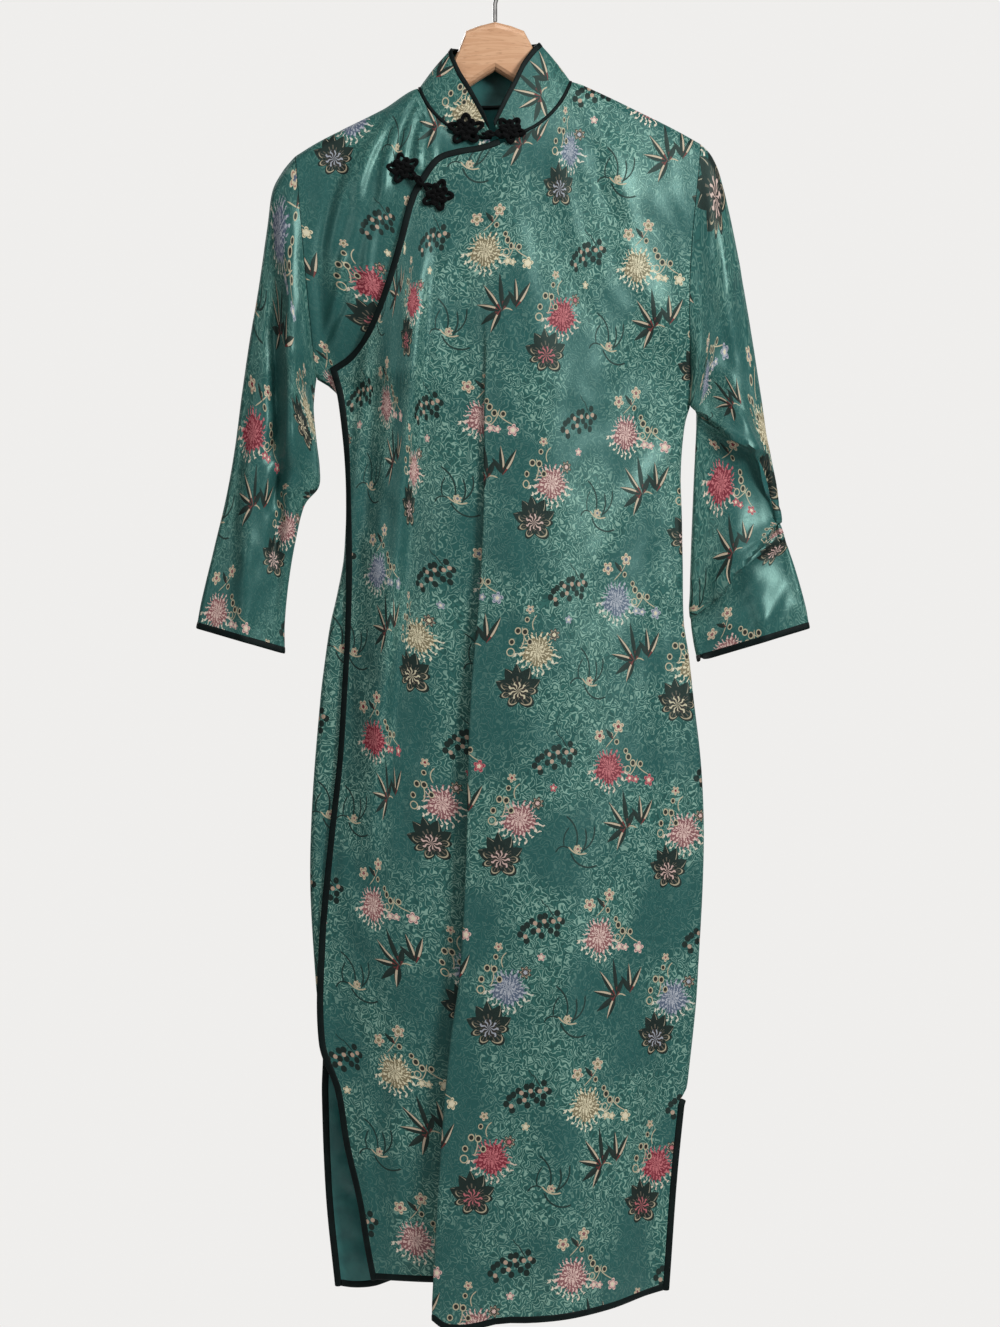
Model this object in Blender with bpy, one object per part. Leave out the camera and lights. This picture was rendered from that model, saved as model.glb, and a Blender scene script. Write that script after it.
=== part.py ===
"""Cheongsam dress on a wooden hanger: the cut pieces as thin walls, their bindings, frogs and hanger.

Tables are in millimetres: x to the right, drop below the hook's inside top, y towards the back.
"""
import math
import bpy
import numpy as np
from mathutils import Vector
from mathutils.bvhtree import BVHTree

MM = 0.001
WALL = 1.6
BINDING_WALL = 2.2
BINDING_WIDTH = 5.7
SEAM_GAP = 0.3
BINDING_ROOM = BINDING_WIDTH + 2 * SEAM_GAP
TRIM_INNER = 0.5
TRIM_OUTER = 2.2
PIPING_RADIUS = 2.1
NECK_ROOM = PIPING_RADIUS + 1

NECK_HALF_WIDTH = 75
NECK_FRONT_SAG = 56
NECK_BACK_SAG = 19
FRONT_DEPTH = 34
BACK_DEPTH = 28
SHOULDER_ROLL = 14
SIDE_ROLL = 7
LAP_LIFT = 3.6
LAP_EDGE_DEPTH = 11.5
SLIT_TOP_LEFT = 1093
SLIT_TOP_RIGHT = 1138
PLACKET_TOP = 445

ARMHOLE = {
    "left": {"top": (-199, 205), "bottom": (-179, 426), "bow": 0, "outward": -1},
    "right": {"top": (205, 193), "bottom": (195, 452), "bow": -6, "outward": 1},
}

# the ridge of each shoulder, on top of the hanger
SHOULDER = {
    "x": [-199, -178, -149, -111, -75, 75, 100, 148, 180, 205],
    "drop": [205, 192, 177, 158, 137, 131, 140, 163, 179, 193],
}

# the curved edge of the front panel, from under the arm to the neck
OVERLAP = {
    "x": [-164, -142, -124, -109, -95, -83, -70, -57, -39, -12, 10],
    "drop": [420, 405, 380, 344, 299, 253, 229, 212, 205, 200, 192],
}

# outlines of the body by their drop
SIDE_LEFT = {
    "drop": [426, 436, 448, 508, 601, 642, 673, 714, 748, 850, 932, 1023, 1096, 1142, 1246, 1335],
    "x": [-179, -163, -154, -148, -150, -157, -164, -170, -174, -182, -184, -179, -173, -174, -170, -161],
}
FRONT_LEFT = {
    "drop": [416, 448, 508, 601, 673, 748, 809, 891, 993, 1089, 1136, 1190, 1246, 1294, 1330],
    "x": [-165, -157, -151, -149, -150, -154, -158, -167, -176, -176, -160, -151, -138, -130, -123],
}
SIDE_RIGHT = {
    "drop": [452, 473, 520, 561, 612, 669, 703, 748, 809, 870, 932, 1006, 1054, 1138, 1225, 1334],
    "x": [195, 189, 185, 186, 187, 188, 193, 198, 205, 208, 207, 203, 200, 191, 182, 174],
}
FRONT_HEM = {
    "x": [-59, -47, -28, -15, 5, 37, 79, 118, 152, 174],
    "drop": [1357, 1365, 1366, 1363, 1358, 1357, 1353, 1348, 1340, 1334],
}
LEFT_LAYER_HEM = 1324.5
BACK_HEM = {"x": [-161, -142, -122, -101, -60, 60, 174], "drop": [1335, 1338, 1337, 1331, 1327, 1330, 1326]}

# the large fold of the front: its visible edge, how far the right layer laps over, its depth and half width
MAIN_FOLD = {
    "drop": [230, 330, 448, 608, 748, 898, 1018, 1090, 1225, 1340],
    "edge": [-8, -8, -8, -11, -22, -26, -32, -42, -53, -59],
    "lap": [-8, -6, 0, 12, 34, 50, 62, 72, 88, 98],
    "depth": [1, 7, 12, 18, 24, 28, 32, 34, 37, 40],
    "half": [14, 18, 24, 32, 44, 56, 66, 72, 76, 78],
}

# softer folds: x at the start, middle and end of the fold, height, width to its left and right
FOLD_COLUMNS = ("start", "end", "x_start", "x_middle", "x_end", "height", "left", "right")
FRONT_FOLDS = [
    (350, 640, -122, -134, -146, 6, 8, 8),
    (250, 950, -66, -82, -128, 13, 24, 9),
    (330, 700, -104, -108, -128, 6, 16, 9),
    (420, 1120, 150, 140, 168, 5, 30, 16),
    (880, 1420, 78, 62, 50, 7, 34, 22),
    (1000, 1420, 150, 130, 118, 6, 26, 20),
    (300, 800, 60, 50, 90, 4, 30, 40),
]
BACK_FOLDS = [
    (300, 1420, -40, -52, -70, 12, 26, 14),
    (420, 1420, 58, 64, 76, 10, 18, 30),
    (700, 1420, 0, 4, 2, 7, 20, 20),
    (380, 1200, -116, -120, -128, 6, 14, 22),
]
SLEEVE_FOLDS = {
    "left": [(240, 470, -204, -205, -206, 5, 8, 6), (400, 720, -238, -241, -246, 6, 12, 10)],
    "right": [(240, 520, 226, 236, 250, 4, 10, 8), (600, 740, 262, 270, 276, 4, 12, 12)],
}

# sleeve rings: outer and inner end, depth to the front and back, shift of the front along the sleeve, bow
RING_COLUMNS = ("outer_x", "outer_drop", "inner_x", "inner_drop", "front", "back", "shift", "bow")
LEFT_RINGS = [
    (-199, 205, -179, 426, 24, 20, 0, 0),
    (-211, 219, -180, 432, 24, 20, 0, 0),
    (-221, 238, -181, 440, 24, 20, 0, 0),
    (-227, 276, -182, 458, 23, 20, 0, 0),
    (-236, 339, -179, 490, 22, 19, 0, 0),
    (-245, 392, -176, 516, 21, 18, 0, 0),
    (-252, 440, -177, 535, 20, 18, 0, 0),
    (-259, 494, -191, 553, 19, 17, 0, 0),
    (-268, 545, -200, 588, 18, 17, 0, 0),
    (-281, 600, -207, 630, 17, 16, 0, 0),
    (-293, 650, -211, 672, 17, 16, 0, 0),
    (-298, 677, -211, 702, 18, 17, 0, 0),
]
RIGHT_RINGS = [
    (205, 193, 195, 452, 24, 20, 0, 0),
    (216, 205, 197, 454, 24, 20, 0, 0),
    (225, 228, 198.5, 455.5, 24, 20, 0, 0),
    (235, 268, 200, 457, 24, 20, 0, 0),
    (245, 320, 201, 458.5, 24, 19, 0, -6),
    (256, 385, 201.5, 460, 24, 19, 0, -12),
    (266, 450, 202, 461.5, 25, 18, 0, -18),
    (273.5, 505, 202, 463, 26, 18, 0, -17),
    (278, 536, 202, 464.3, 27, 18, 0, -18),
    (280.5, 556, 202, 465.6, 27, 18, 0, -18),
    (281.7, 561, 202, 468, 22.5, 18, 1.5, -18),
    (282.7, 566, 202, 471, 17, 18, -6, -18),
    (283.7, 570, 202, 475, 12, 18, -6, -17),
    (284.7, 573.5, 201.5, 487, 9.5, 18, 4, -12),
    (285.5, 575, 199, 540, 14, 18, 0, 0),
    (286.5, 578, 196, 620, 22, 18, 0, 0),
    (287.5, 581, 195.5, 654, 26, 18, 0, 0),
    (288.5, 584.5, 195.7, 658, 22, 18, 1.5, 0),
    (289.5, 588, 196, 662, 17.5, 18, -7, 0),
    (290.5, 591.5, 196.4, 667, 12.5, 18, -7, 0),
    (293, 598, 197, 675, 10, 18, 4, 0),
    (301, 622, 199.5, 692, 14, 17, 0, 0),
    (310, 655, 202, 704, 17, 17, 0, 0),
    (314, 677, 204, 710, 18, 17, 0, 0),
]

# collar: where each rib leaves the neck seam, and its top
COLLAR_COLUMNS = ("base_x", "face", "top_x", "top_drop", "top_y")
COLLAR = [
    (-5, "front", -6.5, 177, -32),
    (-18, "front", -9.5, 167, -30.5),
    (-34, "front", -17, 152, -26),
    (-48, "front", -25, 137, -21),
    (-60, "front", -34, 122, -16),
    (-69, "front", -40.5, 107, -11),
    (-74.6, "front", -43, 98, -5),
    (-74.6, "back", -41, 96, 5),
    (-67, "back", -34, 95, 12),
    (-40, "back", -20, 93.5, 17),
    (0, "back", 0, 93, 19),
    (42, "back", 20, 91.5, 17),
    (67, "back", 35, 90.5, 12),
    (74.6, "back", 42, 91, 5),
    (74.6, "front", 43, 92, -5),
    (69, "front", 37, 99, -11),
    (60, "front", 27, 113, -16),
    (47, "front", 18.5, 131, -21),
    (33, "front", 11, 146, -26),
    (18, "front", 4, 161, -30.5),
    (5, "front", -1.5, 174, -32.5),
]

HOOK_INNER_RADIUS = 19
HOOK_WIRE_RADIUS = 2.3
HANGER_TOP = 70
HANGER_COLUMNS = ("reach", "top", "height", "half_thickness")
HANGER = [
    (0, 70, 49, 9),
    (16, 74, 55, 9),
    (29, 79, 59, 8.6),
    (36, 97, 47, 8),
    (45, 115, 36, 8),
    (60, 130, 30, 8.8),
    (75, 142, 28, 10),
    (90, None, 27, 10.6),
    (105, None, 27, 11),
    (120, None, 27, 11.4),
    (155, None, 27, 11.4),
    (180, None, 27, 11.4),
    (190, None, 26, 10.5),
    (195, None, 20, 7),
]
SHOULDER_ROOM = 1.8
HANGER_SIDES = 14

FROG_COLUMNS = ("name", "x", "drop", "radius", "stretch", "turn")
FLOWERS = [
    ("frog_collar_flower_left", -29, 182, 17, 0.86, 0.2),
    ("frog_collar_flower_right", 15, 183, 14, 0.86, -0.2),
    ("frog_chest_flower_upper", -91, 221, 15, 0.9, 0.9),
    ("frog_chest_flower_lower", -57, 248, 15, 0.95, 0.9),
]
KNOTS = [
    ("frog_collar_knot", (-9.8, 187), (-0.2, 187.8), 4.2),
    ("frog_chest_knot", (-79.1, 229.9), (-70.9, 238.1), 4.2),
]
FLOWER_HEIGHT = 5
FLOWER_SIDES = 20
FROG_REACH = 11
PETALS = 5

COLUMNS_FRONT = (3, 3, 3, 3, 2, 2, 2, 2, 2, 2, 2, 1, 2, 2, 2)
NECK_COLUMNS = ((44, 0.3), (66, 0.5), (75, 0.6), (79, 0.7))
ROLL_ROWS = (0, 0.7, 2.6, 6, 13)
ROWS = [0.02, 0.055, 0.095, 0.135, 0.175, 0.215, 0.26, 0.31, 0.36, 0.41, 0.47, 0.53, 0.59, 0.65, 0.71, 0.77,
        0.83, 0.89, 0.94, 1]
ROWS_BACK = [0.02, 0.06, 0.11, 0.16, 0.21, 0.26, 0.34, 0.43, 0.52, 0.62, 0.72, 0.82, 0.9, 1]
SLEEVE_SIDES = 16
SLEEVE_LEAN = 0.24

PAINTS = {
    "brocade": ((0.065, 0.165, 0.14), 0.42, 0.0),
    "binding": ((0.006, 0.018, 0.018), 0.5, 0.0),
    "frog": ((0.004, 0.005, 0.006), 0.8, 0.0),
    "wood": ((0.72, 0.38, 0.18), 0.45, 0.0),
    "steel": ((0.6, 0.6, 0.6), 0.3, 1.0),
}


def clear_scene():
    for old in list(bpy.data.objects):
        bpy.data.objects.remove(old, do_unlink=True)


def paint(kind):
    material = bpy.data.materials.get(kind)
    if material:
        return material
    colour, roughness, metallic = PAINTS[kind]
    material = bpy.data.materials.new(kind)
    material.use_nodes = True
    shader = material.node_tree.nodes["Principled BSDF"]
    shader.inputs["Base Color"].default_value = (*colour, 1)
    shader.inputs["Roughness"].default_value = roughness
    shader.inputs["Metallic"].default_value = metallic
    return material


# curves and surfaces
def smooth(value):
    value = min(max(value, 0.0), 1.0)
    return value * value * (3 - 2 * value)


def at(table, key, value, by="drop"):
    """Reads one column of a table at a value of another, with a soft curve through the rows."""
    xs, ys = table[by], table[key]
    if value <= xs[0] or value >= xs[-1]:
        return float(ys[0] if value <= xs[0] else ys[-1])
    i = int(np.searchsorted(xs, value)) - 1
    slopes = []
    for k in (i, i + 1):
        lo, hi = max(k - 1, 0), min(k + 1, len(xs) - 1)
        slopes.append((ys[hi] - ys[lo]) / (xs[hi] - xs[lo]))
    span = xs[i + 1] - xs[i]
    u = (value - xs[i]) / span
    return float(
        (2 * u**3 - 3 * u**2 + 1) * ys[i] + (u**3 - 2 * u**2 + u) * span * slopes[0]
        + (3 * u**2 - 2 * u**3) * ys[i + 1] + (u**3 - u**2) * span * slopes[1]
    )


def shoulder(x):
    return at(SHOULDER, "drop", x, by="x")


def armhole(side, share):
    """Point (x, drop) of an armhole, from the shoulder (0) to under the arm (1)."""
    hole = ARMHOLE[side]
    (x0, d0), (x1, d1) = hole["top"], hole["bottom"]
    return x0 + (x1 - x0) * share + hole["bow"] * math.sin(math.pi * share) ** 1.5, d0 + (d1 - d0) * share


def armhole_x(side, drop):
    d0, d1 = ARMHOLE[side]["top"][1], ARMHOLE[side]["bottom"][1]
    return armhole(side, min(max((drop - d0) / (d1 - d0), 0), 1))[0]


def swell(distance, roll, depth, spread):
    """How far cloth stands out at a distance from its folded edge."""
    if distance <= 0:
        return 0.0
    near = 1 - min(distance / roll, 1)
    return roll * math.sqrt(1 - near * near) + (depth - roll) * smooth(distance / spread)


def side_distance(x, drop):
    found = []
    for side, outline, sign in (("left", SIDE_LEFT, 1), ("right", SIDE_RIGHT, -1)):
        bx, bd = ARMHOLE[side]["bottom"]
        if drop < bd:
            found.append(math.hypot(x - bx, drop - bd))
        else:
            found.append(max((x - at(outline, "x", drop)) * sign, 0))
    return min(found)


def body_depth(x, drop, depth):
    """Depth of the body's front or back wall from the plane of its seams."""
    inward = min(x + 199, 205 - x)
    full = depth - 10 * (1 - smooth(inward / 110)) * (1 - smooth((drop - 420) / 160))
    a = swell(drop - shoulder(x), SHOULDER_ROLL, full, 90)
    b = swell(side_distance(x, drop), SIDE_ROLL, full, 120)
    return max(-3 * math.log(math.exp(-a / 3) + math.exp(-b / 3)), 0.0) if min(a, b) > 0 else 0.0


def fold_height(folds, x, drop):
    """Sum of the soft folds at a point, each fading in and out along its length."""
    total = 0.0
    for row in folds:
        fold = dict(zip(FOLD_COLUMNS, row))
        along = (drop - fold["start"]) / (fold["end"] - fold["start"])
        if not 0 < along < 1:
            continue
        ends = smooth(along / 0.3) * smooth((1 - along) / 0.3)
        centre = fold["x_start"] * (1 - along) ** 2 + 2 * fold["x_middle"] * along * (1 - along)
        centre += fold["x_end"] * along**2
        reach = (x - centre) / (fold["left"] if x < centre else fold["right"])
        total += fold["height"] * ends * math.exp(-reach * reach)
    return total


def lap_lift(x):
    return 1 - smooth((x - 5) / 80)


def edge_fade(x, drop):
    """Folds die away at the right side seam, the shoulder and the right armhole."""
    right = armhole_x("right", drop) if drop < ARMHOLE["right"]["bottom"][1] else at(SIDE_RIGHT, "x", drop)
    open_slit = smooth((drop - SLIT_TOP_RIGHT) / 120)
    return max(smooth((right - x) / 34), open_slit) * smooth((drop - shoulder(x) - 20) / 60)


def front_depth(x, drop):
    """Front panel without its large fold: it lies on the underlap and placket at the left."""
    lift = lap_lift(x)
    depth = max(body_depth(x, drop, FRONT_DEPTH) + LAP_LIFT * lift, LAP_EDGE_DEPTH * lift)
    flare = 7 * smooth((drop - SLIT_TOP_RIGHT) / 180) * smooth((x - 100) / 70)
    return depth + flare + fold_height(FRONT_FOLDS, x, drop) * edge_fade(x, drop)


def front_point(x, drop):
    """Front panel's point from its flat x: the large fold laps right over left."""
    edge, lap = at(MAIN_FOLD, "edge", drop), at(MAIN_FOLD, "lap", drop)
    depth, half = at(MAIN_FOLD, "depth", drop), at(MAIN_FOLD, "half", drop)
    centre = edge + lap / 2
    turn = (x - centre) / half
    pull = max(lap / 2 + half / 3, 0) / 0.6495 * smooth((drop - 330) / 120)
    folded = x
    if abs(turn) < 1:
        folded -= pull * math.sin(math.pi * turn) * (1 + math.cos(math.pi * turn)) / 2
    right = at(SIDE_RIGHT, "x", drop)
    fade = 1 - smooth((x - centre - half) / max(right - 8 - centre - half, 1))
    forward = depth * smooth((turn + 1) / 2) * fade
    y = -front_depth(x, drop) - forward * smooth((drop - 200) / 120)
    return folded, y, drop


def back_point(x, drop):
    fade = smooth(side_distance(x, drop) / 34) * smooth((drop - shoulder(x) - 20) / 60)
    open_left = 5 * smooth((drop - SLIT_TOP_LEFT) / 160) * smooth((-100 - x) / 60)
    y = body_depth(x, drop, BACK_DEPTH) + fold_height(BACK_FOLDS, x, drop) * fade + open_left
    return x, y, drop


def neck_drop(x, sag):
    reach = min(abs(x) / NECK_HALF_WIDTH, 1)
    side = 137 + (131 - 137) * (x + NECK_HALF_WIDTH) / (2 * NECK_HALF_WIDTH)
    return side + sag * (1 - reach**2.3) ** 0.75


def neck_outline(x_from, x_to, sag, room):
    """Points (x, drop) of the neck seam between two sides, moved outwards by the room for the piping."""
    points = []
    for i in range(25):
        x = x_from + (x_to - x_from) * (0.5 - 0.5 * math.cos(math.pi * i / 24))
        points.append((x, neck_drop(x, sag)))
    return offset_line(points, room)


def offset_line(points, distance):
    """Moves a line of (x, drop) points to its right-hand side, seen along it with drop pointing down."""
    moved = []
    for i, (x, drop) in enumerate(points):
        x0, d0 = points[max(i - 1, 0)]
        x1, d1 = points[min(i + 1, len(points) - 1)]
        length = math.hypot(x1 - x0, d1 - d0)
        moved.append((x - (d1 - d0) / length * distance, drop + (x1 - x0) / length * distance))
    return moved


def outline_drop(points, x):
    xs, drops = zip(*sorted(points))
    return float(np.interp(x, xs, drops))


def overlap_line(shift, steps=60):
    lo, hi = OVERLAP["x"][0], OVERLAP["x"][-1]
    points = []
    for i in range(steps + 1):
        x = lo + (hi - lo) * i / steps
        points.append((x, at(OVERLAP, "drop", x, by="x")))
    return offset_line(points, shift)


def shoulder_line(x_from, x_to, steps=12):
    points = []
    for i in range(steps + 1):
        x = x_from + (x_to - x_from) * i / steps
        points.append((x, shoulder(x)))
    return points


# solids
def vec(x, y, drop):
    return Vector((x * MM, y * MM, -drop * MM))


def bisector(before, here, after):
    """Direction of a line at one of its points, halfway between its two stretches."""
    parts = [v.normalized() for v in (here - before, after - here) if v.length > 1e-9]
    total = sum(parts[1:], parts[0].copy())
    return total if total.length > 0.05 else parts[0]


def grid_normals(grid, closed=False, outward=1):
    rows, columns = len(grid), len(grid[0])
    normals = []
    for i in range(rows):
        line = []
        for j in range(columns):
            before = grid[i][j - 1 if j or closed else 0]
            after = grid[i][(j + 1) % columns if closed else min(j + 1, columns - 1)]
            along = bisector(before, grid[i][j], after)
            down = bisector(grid[max(i - 1, 0)][j], grid[i][j], grid[min(i + 1, rows - 1)][j])
            line.append(along.cross(down).normalized() * outward)
        normals.append(line)
    return normals


def make_solid(name, points, faces, kind):
    mesh = bpy.data.meshes.new(name)
    mesh.from_pydata([tuple(p) for p in points], [], faces)
    mesh.update()
    volume = 0.0
    for poly in mesh.polygons:
        ring = [mesh.vertices[v].co for v in poly.vertices]
        for k in range(1, len(ring) - 1):
            volume += ring[0].dot(ring[k].cross(ring[k + 1]))
    if volume < 0:
        mesh.flip_normals()
    mesh.shade_smooth()
    mesh.set_sharp_from_angle(angle=math.radians(40))
    mesh.materials.append(paint(kind))
    solid = bpy.data.objects.new(name, mesh)
    bpy.context.collection.objects.link(solid)
    return solid


def wall(name, grid, kind, thickness=WALL, closed=False, outward=1, seams=None):
    """Cloth of even thickness on a grid of points. seams gives the directions of edge points at seams."""
    rows, columns = len(grid), len(grid[0])
    normals = grid_normals(grid, closed, outward)
    for (i, j), direction in (seams or {}).items():
        normals[i][j] = direction
    half = thickness / 2 * MM
    points = []
    for sign in (1, -1):
        for i in range(rows):
            points += [grid[i][j] + normals[i][j] * half * sign for j in range(columns)]
    inner = rows * columns
    faces = []
    last = columns if closed else columns - 1
    for i in range(rows - 1):
        for j in range(last):
            a, b = i * columns + j, i * columns + (j + 1) % columns
            c, d = b + columns, a + columns
            flat = (points[a] - points[c]).length <= (points[b] - points[d]).length
            for p, q, r in ((a, b, c), (a, c, d)) if flat else ((a, b, d), (b, c, d)):
                faces += [(p, q, r), (p + inner, r + inner, q + inner)]
    for i in (0, rows - 1):
        for j in range(last):
            a, b = i * columns + j, i * columns + (j + 1) % columns
            faces.append((a, a + inner, b + inner, b) if i == 0 else (a, b, b + inner, a + inner))
    if not closed:
        for j in (0, columns - 1):
            for i in range(rows - 1):
                a, d = i * columns + j, (i + 1) * columns + j
                faces.append((a, d, d + inner, a + inner) if j == 0 else (a, a + inner, d + inner, d))
    make_solid(name, points, faces, kind)
    return normals


def edge_rail(grid, normals, picks):
    """The points and normals along a run of a grid's edge."""
    return [grid[i][j] for i, j in picks], [normals[i][j] for i, j in picks]


def edging(name, rail, normals, away, closed=False, end_extra=(0, 0), trim=False):
    """A binding strip beside a panel's edge. away points from the panel.

    end_extra lengthens it past its ends, and trim cuts its ends back to clear the strips beside it."""
    kind, count = "binding", len(rail)
    rows = []
    for i in range(count):
        before = rail[i - 1] if closed or i else rail[0]
        after = rail[(i + 1) % count] if closed or i < count - 1 else rail[-1]
        a = (rail[i] - before).normalized() if i or closed else (after - rail[i]).normalized()
        b = (after - rail[i]).normalized() if i < count - 1 or closed else a
        along = (a + b).normalized()
        out = along.cross(normals[i]).normalized()
        if out.dot(away[i]) < 0:
            out.negate()
        beside = b.cross(normals[i]).normalized()
        out /= max(abs(out.dot(beside)), 0.55)
        rows.append([rail[i] + out * SEAM_GAP * MM, rail[i] + out * (SEAM_GAP + BINDING_WIDTH) * MM])
    if trim:
        for end, inner in ((0, 1), (-1, -2)):
            along = (rail[inner] - rail[end]).normalized() * MM
            rows[end] = [rows[end][0] + along * TRIM_INNER, rows[end][1] + along * TRIM_OUTER]
    if not closed:
        for end, extra in ((0, end_extra[0]), (-1, end_extra[1])):
            if extra:
                inner = 1 if end == 0 else -2
                along = (rail[end] - rail[inner]).normalized() * extra * MM
                row = [p + along for p in rows[end]]
                rows.insert(0, row) if end == 0 else rows.append(row)
                normals = [normals[0], *normals] if end == 0 else [*normals, normals[-1]]
    if closed:
        grid = [[row[0] for row in rows], [row[1] for row in rows]]
        seams = {(i, j): n for i in (0, 1) for j, n in enumerate(normals)}
        wall(name, grid, kind, BINDING_WALL, closed=True, seams=seams)
    else:
        seams = {(i, j): n for i, n in enumerate(normals) for j in (0, 1)}
        wall(name, rows, kind, BINDING_WALL, seams=seams)


def tube(name, line, radius, sides, kind, taper=None):
    """A round bar along points, with flat ends."""
    points, faces = [], []
    across = Vector((0.3, 1, 0.2))
    for i, centre in enumerate(line):
        along = (line[min(i + 1, len(line) - 1)] - line[max(i - 1, 0)]).normalized()
        across = (across - along * across.dot(along)).normalized()
        up = along.cross(across)
        r = radius * MM * (taper[i] if taper else 1)
        for k in range(sides):
            turn = 2 * math.pi * k / sides
            points.append(centre + (across * math.cos(turn) + up * math.sin(turn)) * r)
    for i in range(len(line) - 1):
        for k in range(sides):
            a, b = i * sides + k, i * sides + (k + 1) % sides
            faces.append((a, b, b + sides, a + sides))
    last = (len(line) - 1) * sides
    faces.append(tuple(range(sides - 1, -1, -1)))
    faces.append(tuple(range(last, last + sides)))
    make_solid(name, points, faces, kind)


# seams
def ring_direction(side, angle, front_depth_of, back_depth_of):
    """Outward direction of the armhole ring in its plane, at an angle from the shoulder round the front."""
    def ring_point(turn):
        share = (1 - math.cos(turn)) / 2
        x, drop = armhole(side, share)
        depth = -front_depth_of(x, drop) if math.sin(turn) >= 0 else back_depth_of(x, drop)
        return vec(x, depth, drop)

    step = 0.02
    tangent = (ring_point(angle + step) - ring_point(angle - step)).normalized()
    (x0, d0), (x1, d1) = ARMHOLE[side]["top"], ARMHOLE[side]["bottom"]
    plane = Vector((d1 - d0, 0, x1 - x0)).normalized()
    direction = tangent.cross(plane).normalized()
    x, drop = armhole(side, 0.5)
    if direction.dot(ring_point(angle) - vec(x, 0, drop)) < 0:
        direction.negate()
    return direction


def seam_face(side, drop, front):
    """Direction of a panel's edge wall at the armhole, from the ring's own."""
    top, bottom = ARMHOLE[side]["top"][1], ARMHOLE[side]["bottom"][1]
    share = min(max((drop - top) / (bottom - top), 0), 1)
    angle = math.acos(1 - 2 * share)
    angle = min(max(angle, 0.0), math.pi)
    return ring_direction(side, angle if front else -angle, bodice_front, bodice_back)


def bodice_front(x, drop):
    return body_depth(x, drop, FRONT_DEPTH)


def bodice_back(x, drop):
    return body_depth(x, drop, BACK_DEPTH)


def plane_normal(line, i):
    """Direction square to a line of points in the plane of the side and shoulder seams."""
    along = line[min(i + 1, len(line) - 1)] - line[max(i - 1, 0)]
    return Vector((-along.z, 0, along.x)).normalized()


def settle(column, top_of, start):
    """Finds the drop at which a column's path meets the outline above it."""
    drop = start
    for _ in range(40):
        drop = 0.5 * drop + 0.5 * top_of(column(drop))
    return drop


def row_drops(top, bottom, shares):
    """Drops down one column: close together over the shoulder, then by shares of the rest."""
    roll = min(ROLL_ROWS[-1], (bottom - top) * 0.3)
    near = [top + d * roll / ROLL_ROWS[-1] for d in ROLL_ROWS]
    return near + [near[-1] + (bottom - near[-1]) * share for share in shares]


# panels
def front_column(share, drop):
    """Flat x of a column of the front panel. Columns follow the folds."""
    left = at(FRONT_LEFT, "x", drop) + BINDING_ROOM
    slit = smooth((drop - SLIT_TOP_RIGHT + 6) / 20) * BINDING_ROOM
    arm = ARMHOLE["right"]["bottom"][1]
    right = (armhole_x("right", drop) - SEAM_GAP if drop < arm else at(SIDE_RIGHT, "x", drop)) - slit
    centre = at(MAIN_FOLD, "edge", drop) + at(MAIN_FOLD, "lap", drop) / 2
    half = at(MAIN_FOLD, "half", drop)
    start = centre - half
    ridge = min(-46 - 22 * smooth((drop - 420) / 300), left + (start - left) * 0.72)
    valley = left + (ridge - left) * 0.42
    knots = [left, valley, ridge, start, centre - half * 0.43, centre - half * 0.25, centre + half * 0.25,
             centre + half * 0.43, centre + half]
    lower = smooth((drop - 150) / 250)
    for at_neck, part in NECK_COLUMNS:
        knots.append(at_neck * (1 - lower) + (knots[8] + (right - 46 - knots[8]) * part) * lower)
    knots += [right - 46, right - 9, right]
    edges = [0]
    for count in COLUMNS_FRONT:
        edges.append(edges[-1] + count)
    return float(np.interp(share * edges[-1], edges, knots))


def front_top(x):
    neck = [p for p in neck_outline(2, NECK_HALF_WIDTH, NECK_FRONT_SAG, NECK_ROOM) if p[0] > 10]
    line = overlap_line(3.2) + neck + shoulder_line(neck[-1][0] + 1, 205)
    return outline_drop(line, x)


def front_bottom(x):
    centre = at(MAIN_FOLD, "edge", 1335) + at(MAIN_FOLD, "lap", 1335) / 2
    half = at(MAIN_FOLD, "half", 1335)
    turn = (x - centre) / half
    seen = front_point(x, 1335)[0]
    right_layer = at(FRONT_HEM, "drop", max(seen, FRONT_HEM["x"][0]), by="x")
    part = smooth((turn + 0.25) / 0.5)
    return (LEFT_LAYER_HEM * (1 - part) + right_layer * part) - BINDING_ROOM


def front_panel():
    count = sum(COLUMNS_FRONT)
    rows = len(ROLL_ROWS) + len(ROWS)
    grid, flat = [[None] * (count + 1) for _ in range(rows)], [[None] * (count + 1) for _ in range(rows)]
    for j in range(count + 1):
        share = j / count
        top = settle(lambda d: front_column(share, d), front_top, 300)
        bottom = settle(lambda d: front_column(share, d), front_bottom, 1330)
        for i, drop in enumerate(row_drops(top, bottom, ROWS)):
            x = front_column(share, drop)
            point = front_point(x, drop)
            seam = j == count and drop < SLIT_TOP_RIGHT or (i == 0 and x > NECK_HALF_WIDTH + 2)
            y = min(point[1], -SEAM_GAP / 2) if seam else point[1]
            grid[i][j], flat[i][j] = vec(point[0], y, drop), (x, drop)
    seams = {}
    edge = [line[count] for line in grid]
    arm_bottom = ARMHOLE["right"]["bottom"][1]
    for i in range(rows):
        drop = flat[i][count][1]
        if drop <= arm_bottom + 1:
            seams[(i, count)] = seam_face("right", drop, True)
        elif drop < SLIT_TOP_RIGHT - 6:
            seams[(i, count)] = square_out(plane_normal(edge, i), 1)
    for j in range(count):
        if flat[0][j][0] > NECK_HALF_WIDTH + 2:
            seams[(0, j)] = square_up(plane_normal([grid[0][k] for k in range(count + 1)], j))
    normals = wall("front_panel", grid, "brocade", outward=-1, seams=seams)
    return grid, normals, flat


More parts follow.
